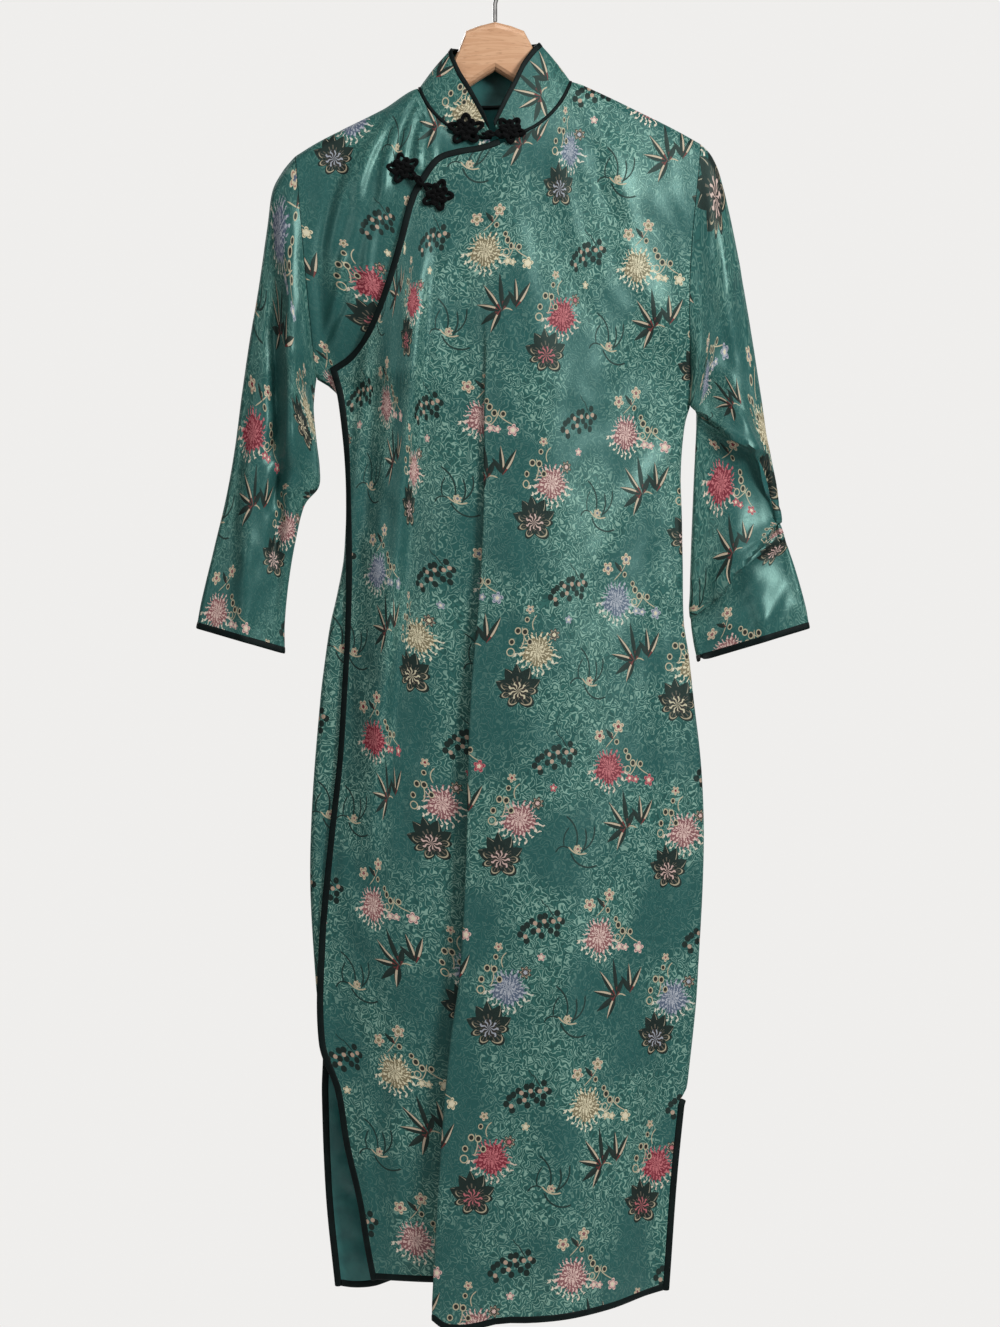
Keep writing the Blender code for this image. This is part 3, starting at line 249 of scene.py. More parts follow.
def sideDistance(x, drop):
    found = []
    for side, outline, sign in (("left", sideLeft, 1), ("right", sideRight, -1)):
        armX, armDrop = armholes[side]["bottom"]
        if drop < armDrop:
            found.append(math.hypot(x - armX, drop - armDrop))
        else:
            found.append(max((x - at(outline, "x", drop)) * sign, 0))
    return min(found)


# depth of the body's front or back wall from the plane of its seams
def bodyDepth(x, drop, depth):
    inward = min(x - shoulderRidge["x"][0], shoulderRidge["x"][-1] - x)
    below = smooth((drop - body["hollowFrom"]) / body["hollowDown"])
    full = depth - body["armHollow"] * (1 - smooth(inward / body["hollowIn"])) * (1 - below)
    a = swell(drop - shoulder(x), body["shoulderRoll"], full, body["spreadDown"])
    b = swell(sideDistance(x, drop), body["sideRoll"], full, body["spreadIn"])
    return softLeast(a, b)


def bodiceFront(x, drop):
    return bodyDepth(x, drop, body["frontDepth"])


def bodiceBack(x, drop):
    return bodyDepth(x, drop, body["backDepth"])


def downFoldHeight(rows, x, drop):
    total, endShare = 0.0, 0.3
    for start, end, xStart, xMiddle, xEnd, height, left, right in rows:
        along = (drop - start) / (end - start)
        if not 0 < along < 1:
            continue
        ends = smooth(along / endShare) * smooth((1 - along) / endShare)
        centre = xStart * (1 - along) ** 2 + 2 * xMiddle * along * (1 - along) + xEnd * along**2
        reach = (x - centre) / (left if x < centre else right)
        total += height * ends * math.exp(-reach * reach)
    return total


# height of the light creases on arrays of x and drop: shares of a crease's length that it bends aside, runs
# past its ends and takes to die away there
def creaseHeight(rows, xs, drops):
    total, aside, past, ending = np.zeros_like(xs), 0.06, 0.15, 0.4
    for x0, d0, x1, d1, height, half in rows:
        dx, dd = x1 - x0, d1 - d0
        length = math.hypot(dx, dd)
        along = ((xs - x0) * dx + (drops - d0) * dd) / length**2
        bend = aside * length * np.sin(np.clip(along, 0, 1) * math.pi)
        across = ((xs - x0) * dd - (drops - d0) * dx) / length + bend
        ends = np.clip((along + past) / ending, 0, 1) * np.clip((1 + past - along) / ending, 0, 1)
        total += height * smoothAll(ends) * np.exp(-((across / half) ** 2))
    return total


# height of a fold that laps over the cloth under its edge: the hollow's share of height and reach, and the
# width of the edge itself
laps = {"hollow": -0.7, "hollowReach": 0.5, "edge": 1.2}


def lapHeight(rows, xs, drops):
    total = np.zeros_like(xs)
    for line, height, reach in rows:
        nearest, above = np.full_like(xs, 1e9), np.zeros_like(xs)
        for (x0, d0), (x1, d1) in zip(line[:-1], line[1:]):
            dx, dd = x1 - x0, d1 - d0
            length = math.hypot(dx, dd)
            along = np.clip(((xs - x0) * dx + (drops - d0) * dd) / length**2, 0, 1)
            away = np.hypot(xs - x0 - along * dx, drops - d0 - along * dd)
            side = np.sign((xs - x0) * dd - (drops - d0) * dx) * (1 if dx > 0 else -1)
            closer = away < nearest
            nearest, above = np.where(closer, away, nearest), np.where(closer, side, above)
        edge = np.clip(nearest / laps["edge"], 0, 1)
        over = height * np.exp(-nearest / reach) * edge
        under = laps["hollow"] * height * np.exp(-nearest / (laps["hollowReach"] * reach)) * edge
        total += np.where(above > 0, over, under)
    return total


# long shallow waves of hanging silk, the same on every run
def drift(xs, drops, size, shift):
    a = np.sin(xs / size * 2.1 + 1.3 * np.sin(drops / size * 0.9 + shift) + shift)
    b = np.sin(drops / size * 1.3 + 1.7 * np.sin(xs / size * 1.1 + shift * 2) + 2.4)
    return a * b


def lapLift(x):
    return 1 - smooth((x - body["lapEnd"]) / body["lapFade"])


def shoulderFade(x, drop):
    return smooth((drop - shoulder(x) - fades["shoulderFrom"]) / fades["shoulder"])


# folds die away at the right side seam, the shoulder and the right armhole
def edgeFade(x, drop):
    right = armholeX("right", drop) if drop < armholes["right"]["bottom"][1] else at(sideRight, "x", drop)
    openSlit = smooth((drop - body["slitRight"]) / fades["slit"])
    return max(smooth((right - x) / fades["side"]), openSlit) * shoulderFade(x, drop)


# front panel without its large fold: it lies on the underlap and placket at the left
def frontDepth(x, drop):
    lift = lapLift(x)
    depth = max(bodiceFront(x, drop) + body["lapLift"] * lift, body["lapEdge"] * lift)
    flare = body["flareFront"] * smooth((drop - body["slitRight"]) / body["flareFrontDown"])
    flare *= smooth((x - body["flareFrom"]) / body["flareFrontIn"])
    return depth + flare + downFoldHeight(downFolds["front"], x, drop) * edgeFade(x, drop)


# front panel's point from its flat x: the large fold laps right over left
def frontPoint(x, drop):
    edge, lap = at(mainFold, "edge", drop), at(mainFold, "lap", drop)
    depth, half = at(mainFold, "depth", drop), at(mainFold, "half", drop)
    centre = edge + lap / 2
    turn = (x - centre) / half
    # a sideways pull of this shape moves the cloth by at most 0.6495 of its own size
    pull = max(lap / 2 + half / 3, 0) / 0.6495 * smooth((drop - mainFold["pullFrom"]) / mainFold["growth"])
    folded = x
    if abs(turn) < 1:
        folded -= pull * math.sin(math.pi * turn) * (1 + math.cos(math.pi * turn)) / 2
    right = at(sideRight, "x", drop) - mainFold["sideKept"]
    fade = 1 - smooth((x - centre - half) / max(right - centre - half, 1))
    forward = depth * smooth((turn + 1) / 2) * fade
    grown = smooth((drop - mainFold["depthFrom"]) / mainFold["growth"])
    return folded, -frontDepth(x, drop) - forward * grown


def backDepth(x, drop):
    fade = smooth(sideDistance(x, drop) / fades["side"]) * shoulderFade(x, drop)
    flare = body["flareBack"] * smooth((drop - body["slitLeft"]) / body["flareBackDown"])
    flare *= smooth((-body["flareFrom"] - x) / body["flareBackIn"])
    return bodiceBack(x, drop) + downFoldHeight(downFolds["back"], x, drop) * fade + flare


def neckDrop(x, sag):
    reach = min(abs(x) / neck["halfWidth"], 1)
    side = neck["left"] + (neck["right"] - neck["left"]) * (x + neck["halfWidth"]) / (2 * neck["halfWidth"])
    return side + sag * (1 - reach**2.3) ** 0.75


# moves a line of (x, drop) points to its right-hand side
def offsetLine(points, distance):
    moved = []
    for i, (x, drop) in enumerate(points):
        x0, d0 = points[max(i - 1, 0)]
        x1, d1 = points[min(i + 1, len(points) - 1)]
        length = math.hypot(x1 - x0, d1 - d0)
        moved.append((x - (d1 - d0) / length * distance, drop + (x1 - x0) / length * distance))
    return moved


# share of the way across, closer together towards both ends
def crossShare(j, last, even):
    return even * j / last + (1 - even) * (0.5 - 0.5 * math.cos(math.pi * j / last))


def neckOutline(xFrom, xTo, sag, steps=48):
    xs = [xFrom + (xTo - xFrom) * crossShare(i, steps, 0) for i in range(steps + 1)]
    return offsetLine([(x, neckDrop(x, sag)) for x in xs], neck["room"])


def outlineDrop(points, x):
    xs, drops = zip(*sorted(points))
    return float(np.interp(x, xs, drops))


def overlapLine(shift, steps=90):
    lo, hi = overlapEdge["x"][0], overlapEdge["x"][-1]
    xs = [lo + (hi - lo) * i / steps for i in range(steps + 1)]
    return offsetLine([(x, at(overlapEdge, "drop", x, by="x")) for x in xs], shift)


# line of the shoulder's ridge, to its outer end where no other end is given
def shoulderLine(xFrom=shoulderRidge["x"][0], xTo=shoulderRidge["x"][-1], steps=24):
    xs = [xFrom + (xTo - xFrom) * i / steps for i in range(steps + 1)]
    return [(x, shoulder(x)) for x in xs]


def vec(x, y, drop):
    return np.array((x * mm, y * mm, -drop * mm))


def unit(vectors):
    length = np.linalg.norm(vectors, axis=-1, keepdims=True)
    return vectors / np.maximum(length, 1e-12)


# drop at which a column's path meets the outline above it
def settle(column, topOf, start, rounds=24):
    drop = start
    for _ in range(rounds):
        drop = 0.5 * drop + 0.5 * topOf(column(drop))
    return drop


# drops down a column: close together over the roll of its top edge, then even
rollRows = (0, 0.35, 0.7, 1.5, 2.6, 4.2, 6, 8, 10.4, 13)


def rowDrops(top, bottom, count):
    roll = min(rollRows[-1], (bottom - top) * 0.3)
    near = [top + d * roll / rollRows[-1] for d in rollRows]
    return near + [near[-1] + (bottom - near[-1]) * i / count for i in range(1, count + 1)]


# links a socket to an input, or sets a number or colour on it
def socketOf(tree, holder, value):
    if isinstance(value, bpy.types.NodeSocket):
        tree.links.new(value, holder)
    elif value is not None:
        holder.default_value = value


def setInputs(tree, node, values):
    for name, value in values.items():
        socketOf(tree, node.inputs[name], value)


# one Math node, with numbers or sockets as inputs
def calc(tree, operation, *values, clamp=False):
    node = tree.nodes.new("ShaderNodeMath")
    node.operation, node.use_clamp = operation, clamp
    for holder, value in zip(node.inputs, values):
        socketOf(tree, holder, value)
    return node.outputs[0]


# Math nodes in short: a times b, plus c, and 1 where a is under or over b
def times(tree, a, b, clamp=False):
    return calc(tree, "MULTIPLY", a, b, clamp=clamp)


def timesPlus(tree, a, b, c, clamp=False):
    return calc(tree, "MULTIPLY_ADD", a, b, c, clamp=clamp)


def lessThan(tree, a, b):
    return calc(tree, "LESS_THAN", a, b)


def moreThan(tree, a, b):
    return calc(tree, "GREATER_THAN", a, b)


# one Vector Math node
def calcVector(tree, operation, *values):
    node = tree.nodes.new("ShaderNodeVectorMath")
    node.operation = operation
    for holder, value in zip(node.inputs, values):
        socketOf(tree, holder, value)
    return node.outputs["Value" if operation in ("LENGTH", "DISTANCE", "DOT_PRODUCT") else "Vector"]


def blendColour(tree, mask, below, above):
    node = tree.nodes.new("ShaderNodeMix")
    node.data_type = "RGBA"
    socketOf(tree, node.inputs[0], mask)
    socketOf(tree, node.inputs[6], below)
    socketOf(tree, node.inputs[7], above)
    return node.outputs[2]


# soft step from 0 below low to 1 above high
def step(tree, value, low, high):
    node = tree.nodes.new("ShaderNodeMapRange")
    node.interpolation_type = "SMOOTHSTEP"
    for holder, number in zip(node.inputs, (value, low, high, 0.0, 1.0)):
        socketOf(tree, holder, number)
    return node.outputs[0]


def noise(tree, vector, scale, detail=2.0, roughness=0.5, distortion=0.0, dimensions="3D", output=0):
    node = tree.nodes.new("ShaderNodeTexNoise")
    node.noise_dimensions = dimensions
    setInputs(tree, node, {"Vector": vector, "Scale": scale, "Detail": detail, "Roughness": roughness,
                           "Distortion": distortion})
    return node.outputs[output]


# a node group, with a place among its inputs. Every input is set where the group is used
def newGroup(name, inputs, outputs):
    group = bpy.data.node_groups.new(name, "ShaderNodeTree")
    for way, sockets in (("INPUT", {"Vector": "Vector", **inputs}), ("OUTPUT", outputs)):
        for socket, kind in sockets.items():
            group.interface.new_socket(name=socket, in_out=way, socket_type="NodeSocket" + kind)
    return group, group.nodes.new("NodeGroupInput").outputs, group.nodes.new("NodeGroupOutput").inputs


def placeGroup(tree, group, **values):
    node = tree.nodes.new("ShaderNodeGroup")
    node.node_tree = group
    setInputs(tree, node, values)
    return node.outputs


def objectPlace(tree):
    return tree.nodes.new("ShaderNodeTexCoord").outputs["Object"]


def splitXyz(tree, vector):
    split = tree.nodes.new("ShaderNodeSeparateXYZ")
    tree.links.new(vector, split.inputs[0])
    return split.outputs


# what flowers and leaves put out: where they lie, and their colours
flowerOut = {"Mask": "Float", "Colour": "Color"}


def putOut(group, out, **sockets):
    for name, socket in sockets.items():
        group.links.new(socket, out[name])
    return group


# angle and radius about a centre
def polar(tree, vector, centre=(0, 0, 0)):
    rel = calcVector(tree, "SUBTRACT", vector, centre)
    xy = splitXyz(tree, rel)
    return calcVector(tree, "LENGTH", rel), calc(tree, "ARCTAN2", xy[1], xy[0]), xy


# many-petalled head: a ragged ball of fine rays, longer and paler round its lower rim
chrysanthemum = {
    "noise": 0.30, "ragged": 3.8, "middle": (0, 2, 0), "rays": 22, "twist": 1.7, "curl": 0.7,
    "lower": (-8, 7), "lowerReach": 3.0, "lopsided": 1.3, "reach": 13.2, "tips": 5.6,
    "dots": 7.2, "dotHalf": 1.2, "coreRays": 9, "core": 7.5, "paleShare": 0.75, "pale": (0.80, 0.76, 0.60, 1),
    # how waves run: by the angle or the radius, and their start
    "warp": (3, 1.0), "wave": (0.8, 2), "lobes": (5, 0.7), "breaks": (1.15, 7),
    # where things start and end to show on a wave
    "valley": -0.15, "dotRay": 0.55, "dotFrom": 5.0, "tickRay": (-0.1, 0.45), "tickBreak": (-0.95, -0.3),
    "coreRay": (0.1, 0.6), "ends": (0.5, 2.5),
}


def chrysanthemumGroup():
    group, given, out = newGroup("chrysanthemum", {"Base": "Color", "Tick": "Color"}, flowerOut)
    head = chrysanthemum
    ragged = noise(group, given["Vector"], head["noise"], 1.0, dimensions="2D", output=1)
    ragged = calcVector(group, "SUBTRACT", ragged, (0.5, 0.5, 0))
    ragged = calcVector(group, "MULTIPLY", ragged, (head["ragged"], head["ragged"], 0))
    place = calcVector(group, "ADD", given["Vector"], ragged)
    radius, angle, xy = polar(group, calcVector(group, "SUBTRACT", place, head["middle"]))
    # rays: uneven round the head, and bent along their length
    warp = calc(group, "SINE", timesPlus(group, angle, *head["warp"]))
    turned = timesPlus(group, angle, head["rays"], times(group, warp, head["twist"]))
    outward, around = head["wave"]
    wave = calc(group, "SINE", timesPlus(group, radius, outward, times(group, angle, around)))
    thread = calc(group, "COSINE", timesPlus(group, wave, head["curl"], turned))
    lower = step(group, xy[1], *head["lower"])
    lopsided = calc(group, "SINE", timesPlus(group, angle, *head["lobes"]))
    reach = timesPlus(group, lopsided, head["lopsided"], head["reach"])
    reach = timesPlus(group, lower, head["lowerReach"], reach)
    rim = timesPlus(group, calc(group, "MAXIMUM", thread, head["valley"]), head["tips"], reach)
    inside = moreThan(group, rim, radius)
    # loose dots past the tips, round the lower half
    past = calc(group, "ABSOLUTE", calc(group, "SUBTRACT", radius, calc(group, "ADD", reach, head["dots"])))
    dots = times(group, lessThan(group, past, head["dotHalf"]), moreThan(group, thread, head["dotRay"]))
    dots = times(group, dots, moreThan(group, xy[1], head["dotFrom"]))
    outward, around = head["breaks"]
    broken = calc(group, "SINE", timesPlus(group, radius, outward, times(group, angle, around)))
    tick = times(group, step(group, thread, *head["tickRay"]), step(group, broken, *head["tickBreak"]))
    core = calc(group, "COSINE", timesPlus(group, angle, head["coreRays"], calc(group, "SINE", radius)))
    core = times(group, step(group, core, *head["coreRay"]), lessThan(group, radius, head["core"]))
    colour = blendColour(group, calc(group, "MAXIMUM", tick, core), given["Base"], given["Tick"])
    ends = times(group, step(group, calc(group, "SUBTRACT", radius, reach), *head["ends"]), lower)
    colour = blendColour(group, times(group, ends, head["paleShare"]), colour, head["pale"])
    return putOut(group, out, Mask=calc(group, "MAXIMUM", inside, dots), Colour=colour)


# rounded blossom: lobed outline, a thin line inside it, coloured heart, by shares of the way out
blossom = {"line": 0.72, "lineHalf": 0.08, "lineLobes": 0.3, "heart": 0.36, "waist": 0.5}


def blossomGroup():
    group, given, out = newGroup("blossom", {
        "Radius": "Float", "Petals": "Float", "Turn": "Float", "Fill": "Color", "Line": "Color",
        "Heart": "Color"}, flowerOut)
    radius, angle, _ = polar(group, given["Vector"])
    turned = times(group, calc(group, "ADD", angle, given["Turn"]), times(group, given["Petals"], 0.5))
    lobes = calc(group, "ABSOLUTE", calc(group, "COSINE", turned))
    rim = times(group, given["Radius"], timesPlus(group, lobes, 1 - blossom["waist"], blossom["waist"]))
    share = calc(group, "DIVIDE", radius, rim)
    inside = lessThan(group, share, 1.0)
    line = calc(group, "COMPARE", share, blossom["line"], blossom["lineHalf"])
    line = times(group, line, moreThan(group, lobes, blossom["lineLobes"]))
    colour = blendColour(group, line, given["Fill"], given["Line"])
    colour = blendColour(group, lessThan(group, share, blossom["heart"]), colour, given["Heart"])
    return putOut(group, out, Mask=inside, Colour=colour)


# full dark flower: black petals with thin pale outlines one inside the other, and a heart of coloured ticks
peony = {
    "petals": 3.5, "uneven": 0.7, "lobes": 8.0, "lopsided": 1.8, "reach": 11.5, "outline": 0.84,
    "veins": 0.64, "ticks": 9, "heart": 0.50, "warp": (2, 0.6),
    "outlineHalf": 0.04, "outlineLobes": 0.35, "outlineFrom": (-7, -1),
    "veinHalf": 0.11, "veinCount": 8, "veinOver": 0.55, "veinShare": 0.5,
    "tickRay": (0.15, 0.7), "tickShare": 0.85,
    "black": (0.006, 0.008, 0.008, 1), "brown": (0.24, 0.19, 0.14, 1), "pale": (0.42, 0.35, 0.24, 1),
    "heartDark": (0.03, 0.015, 0.015, 1),
}


def peonyGroup():
    group, given, out = newGroup("peony", {"Heart": "Color"}, flowerOut)
    radius, angle, xy = polar(group, given["Vector"])
    warp = calc(group, "SINE", timesPlus(group, angle, *peony["warp"]))
    turned = timesPlus(group, angle, peony["petals"], times(group, warp, peony["uneven"]))
    lobes = calc(group, "ABSOLUTE", calc(group, "COSINE", turned))
    rim = timesPlus(group, lobes, peony["lobes"], timesPlus(group, warp, peony["lopsided"], peony["reach"]))
    share = calc(group, "DIVIDE", radius, rim)
    outline = calc(group, "COMPARE", share, peony["outline"], peony["outlineHalf"])
    outline = times(group, outline, moreThan(group, lobes, peony["outlineLobes"]))
    outline = times(group, outline, step(group, xy[1], *peony["outlineFrom"]))
    veins = calc(group, "COSINE", times(group, turned, peony["veinCount"]))
    veins = moreThan(group, veins, peony["veinOver"])
    veins = times(group, calc(group, "COMPARE", share, peony["veins"], peony["veinHalf"]), veins)
    colour = blendColour(group, times(group, veins, peony["veinShare"]), peony["black"], peony["brown"])
    colour = blendColour(group, outline, colour, peony["pale"])
    ticks = calc(group, "COSINE", timesPlus(group, angle, peony["ticks"], calc(group, "SINE", radius)))
    ticks = times(group, step(group, ticks, *peony["tickRay"]), peony["tickShare"])
    heart = blendColour(group, ticks, peony["heartDark"], given["Heart"])
    colour = blendColour(group, lessThan(group, share, peony["heart"]), colour, heart)
    return putOut(group, out, Mask=lessThan(group, share, 1.0), Colour=colour)


# long pointed leaf: dark, and pale between two shares of its width, with its own root colour
leaf = {"rootEnd": 0.22, "foot": 0.06, "taper": (-1.6, 4.9), "thin": 0.01, "black": (0.007, 0.010, 0.009, 1)}


def leafGroup():
    group, given, out = newGroup("bambooLeaf", {
        "Along": "Vector", "Across": "Vector", "Width": "Float", "Light": "Color", "Root": "Color",
        "From": "Float", "To": "Float"}, flowerOut)
    t = calcVector(group, "DOT_PRODUCT", given["Vector"], given["Along"])
    side = calcVector(group, "DOT_PRODUCT", given["Vector"], given["Across"])
    # widest near the root, pointed at the tip
    profile = times(group, calc(group, "ADD", t, leaf["foot"]), calc(group, "SUBTRACT", 1.0, t), clamp=True)
    profile = times(group, profile, timesPlus(group, t, *leaf["taper"]))
    profile = times(group, profile, given["Width"])
    share = calc(group, "DIVIDE", side, calc(group, "MAXIMUM", profile, leaf["thin"]))
    mask = lessThan(group, calc(group, "ABSOLUTE", share), 1.0)
    lit = times(group, moreThan(group, share, given["From"]), lessThan(group, share, given["To"]))
    pale = blendColour(group, moreThan(group, t, leaf["rootEnd"]), given["Root"], given["Light"])
    return putOut(group, out, Mask=mask, Colour=blendColour(group, lit, leaf["black"], pale))


# One repeat of the figured silk in millimetres, from the middle of a chrysanthemum, x right and y down as
# the cloth hangs on the front. There it leans a little off the thread, so every place is turned upright.
brocade = {
    "cell": (185, 166), "lean": 4.46,
    "ground": (0.026, 0.112, 0.104), "pale": (0.040, 0.150, 0.130), "lines": (0.35, 0.56, 0.46),
    "shadow": (0.008, 0.034, 0.032), "cream": (0.62, 0.54, 0.38), "dark": (0.004, 0.006, 0.006),
    "tints": {
        "stem": (0.010, 0.022, 0.020), "paleStem": (0.52, 0.44, 0.30), "paleBerry": (0.46, 0.32, 0.24),
        "petalLine": (0.34, 0.30, 0.22), "podRim": (0.50, 0.43, 0.29), "pod": (0.020, 0.012, 0.010),
        "ring": (0.55, 0.46, 0.31), "blossomLine": (0.36, 0.16, 0.13), "blossomHeart": (0.75, 0.68, 0.5),
        "brown": (0.05, 0.03, 0.025), "brownLine": (0.42, 0.34, 0.25), "darkLeaf": (0.012, 0.015, 0.014),
        "darkRoot": (0.12, 0.02, 0.02), "paleLeaf": (0.56, 0.45, 0.33), "paleRoot": (0.20, 0.03, 0.03),
    },
    # ground of winding lines: sizes of the noises, how many lines, and where each line starts to show
    "zones": 0.011, "worms": 0.15, "bends": 0.6, "count": 3.4, "line": (0.34, 0.42), "inZone": (0.34, 0.60),
    "fibre": 1.6, "fibreShade": 0.25, "hollowShade": 0.5, "lineRelief": 0.6, "weaveRelief": 0.35,
    "lineLeast": 0.2, "grain": (1.0, 0.12, 1.0), "paleZone": (0.35, 0.70), "fibreStep": (0.35, 0.75),
    "hollow": (-0.16, -0.06), "berryRadius": 3.3, "paleBerryRadius": 2.2, "squash": 1.1,
    # sizes of a pod's rim and seed, place and half width of a ring, and which share of a leaf's width is pale
    "podRimSize": 1.28, "podSize": 0.84, "ring": (0.88, 0.13),
    "petalLit": (0.50, 0.64), "darkLit": (0.0, 2.0), "paleLit": (0.12, 0.80),
    # heads down each column: lavender, red, pink, cream, pink, each with its base and its lit threads. inStep
    # keeps the row's share off the steps between them
    "inStep": 0.1,
    "cycle": [
        ((0.100, 0.125, 0.195), (0.42, 0.44, 0.50)), ((0.205, 0.010, 0.030), (0.55, 0.15, 0.17)),
        ((0.270, 0.100, 0.105), (0.74, 0.53, 0.47)), ((0.230, 0.185, 0.105), (0.74, 0.66, 0.46)),
        ((0.250, 0.090, 0.100), (0.74, 0.51, 0.46)),
    ],
    "heads": [((0, 0), 0), ((-95, 50), 3)],
    "peonies": [((-114, 92), 1)],
    # small blossoms: place, radius, petals, turn, kind
    "blossoms": [
        ((12, -38), 6.6, 5, 0.4, "pale"), ((-11, -29), 6.8, 5, 1.1, "pale"), ((47, 15), 6.4, 5, 0.2, "cycle"),
        ((24, 13), 4.4, 5, 0.7, "cycle"), ((31, 14), 4.0, 5, 0.1, "cycle"), ((-78, 37), 6.6, 7, 0.5, "brown"),
        ((-104, 12), 4.6, 5, 0.9, "pale"), ((-62, 22), 4.2, 5, 0.3, "cycle"),
        ((-36, 82), 4.4, 6, 0.3, "pale"),
    ],
    # seeds with a pale rim: place and radius
    "pods": [
        ((23, -8), 2.9), ((28, -2), 2.8), ((37, -1), 2.5), ((20, -14), 2.3), ((10, -23), 2.3),
        ((4, -30), 1.8), ((-116, 33), 2.8), ((-109, 34), 2.8), ((-104, 44), 2.6), ((-107, 22), 2.2),
        ((-122, 44), 2.6),
    ],
    "rings": [((-123, 54), 4.2), ((22, 4), 3.6), ((-37, 82), 3.2)],
    # spray of berries: dark ones, and the pale ones between them
    "berries": [
        (-82, 0), (-79, -6), (-75, -9), (-76, 6), (-70, -13), (-69, -3), (-62, -17), (-61, 1), (-57, -18),
        (-56, -9), (-63, -9), (-52, -4), (-45, -21), (-45, -8), (-46, -1), (-40, -13), (-51, -14),
    ],
    "paleBerries": [(-67, -11), (-64, -4), (-49, -13), (-43, -15), (-77, 2), (-58, -13)],
    # leaves: root, tip, half width, two-tone (1) or dark (0)
    "leaves": [
        ((19, 62), (-8, 56), 2.5, 1), ((19, 62), (-1, 36), 2.5, 1), ((21, 61), (16, 24), 2.1, 0),
        ((19, 62), (-4, 76), 2.6, 0), ((19, 62), (9, 84), 2.7, 1), ((21, 61), (29, 44), 2.4, 0),
        ((37, 58), (35, 30), 2.4, 1), ((37, 58), (51, 34), 2.6, 1), ((37, 58), (26, 42), 2.2, 0),
        ((6, -26), (-3, -36), 1.8, 0),
    ],
    # dark petals round the top of a peony: root, tip and half width
    "petals": [
        ((-115, 88), (-128, 70), 5.6), ((-114, 90), (-117, 65), 5.0), ((-112, 88), (-103, 69), 5.8),
        ((-118, 91), (-137, 83), 5.6), ((-108, 91), (-92, 81), 5.4),
    ],
    # thin stems through three points: dark ones and pale ones, with their half width
    "stems": [
        ((-38, 80), (-37, 66), (-48, 50), 0.8), ((-50, 79), (-50, 70), (-45, 61), 0.65),
        ((-32, 85), (-27, 74), (-28, 63), 0.9), ((-30, 83), (-20, 73), (-18, 60), 0.8),
        ((-43, 86), (-33, 98), (-16, 98), 0.85), ((-59, 85), (-54, 80), (-46, 81), 0.7),
        ((8, 20), (12, 34), (14, 44), 0.5), ((31, 62), (40, 70), (56, 87), 0.6),
        ((-53, -26), (-51, -22), (-48, -18), 0.9), ((-60, -34), (-57, -29), (-54, -27), 0.45),
        ((-95, 75), (-101, 82), (-108, 85), 0.5),
    ],
    "paleStems": [
        ((14, -14), (21, -9), (31, -2), 0.55), ((31, -2), (37, 4), (46, 9), 0.5),
        ((24, 10), (30, 3), (33, -5), 0.5), ((-3, -18), (4, -24), (11, -33), 0.45),
        ((-113, 50), (-110, 42), (-112, 30), 0.55), ((-100, 32), (-101, 24), (-96, 18), 0.5),
        ((-45, 80), (-38, 86), (-27, 86), 0.7), ((21, 61), (26, 60), (31, 62), 0.6),
    ],
}


# circle through three points: middle, radius, direction of the arc's middle and half its angle
def circleThrough(a, b, c):
    (ax, ay), (bx, by), (cx, cy) = a, b, c
    twice = 2 * (ax * (by - cy) + bx * (cy - ay) + cx * (ay - by))
    aa, bb, cc = ax * ax + ay * ay, bx * bx + by * by, cx * cx + cy * cy
    x = (aa * (by - cy) + bb * (cy - ay) + cc * (ay - by)) / twice
    y = (aa * (cx - bx) + bb * (ax - cx) + cc * (bx - ax)) / twice
    radius = math.hypot(ax - x, ay - y)
    ends = [math.atan2(p[1] - y, p[0] - x) for p in (a, b, c)]
    first = (ends[1] - ends[0] + math.pi) % (2 * math.pi) - math.pi
    second = (ends[2] - ends[1] + math.pi) % (2 * math.pi) - math.pi
    return (x, y), radius, ends[0] + (first + second) / 2, abs(first + second) / 2


# a place on the leaning cloth, turned upright
def leaned(place):
    lean = math.radians(brocade["lean"])
    x, y = place
    return x * math.cos(lean) + y * math.sin(lean), y * math.cos(lean) - x * math.sin(lean)


# a tint of the cloth as a shader colour
def tint(name):
    return (*(brocade["tints"][name] if name in brocade["tints"] else brocade[name]), 1)


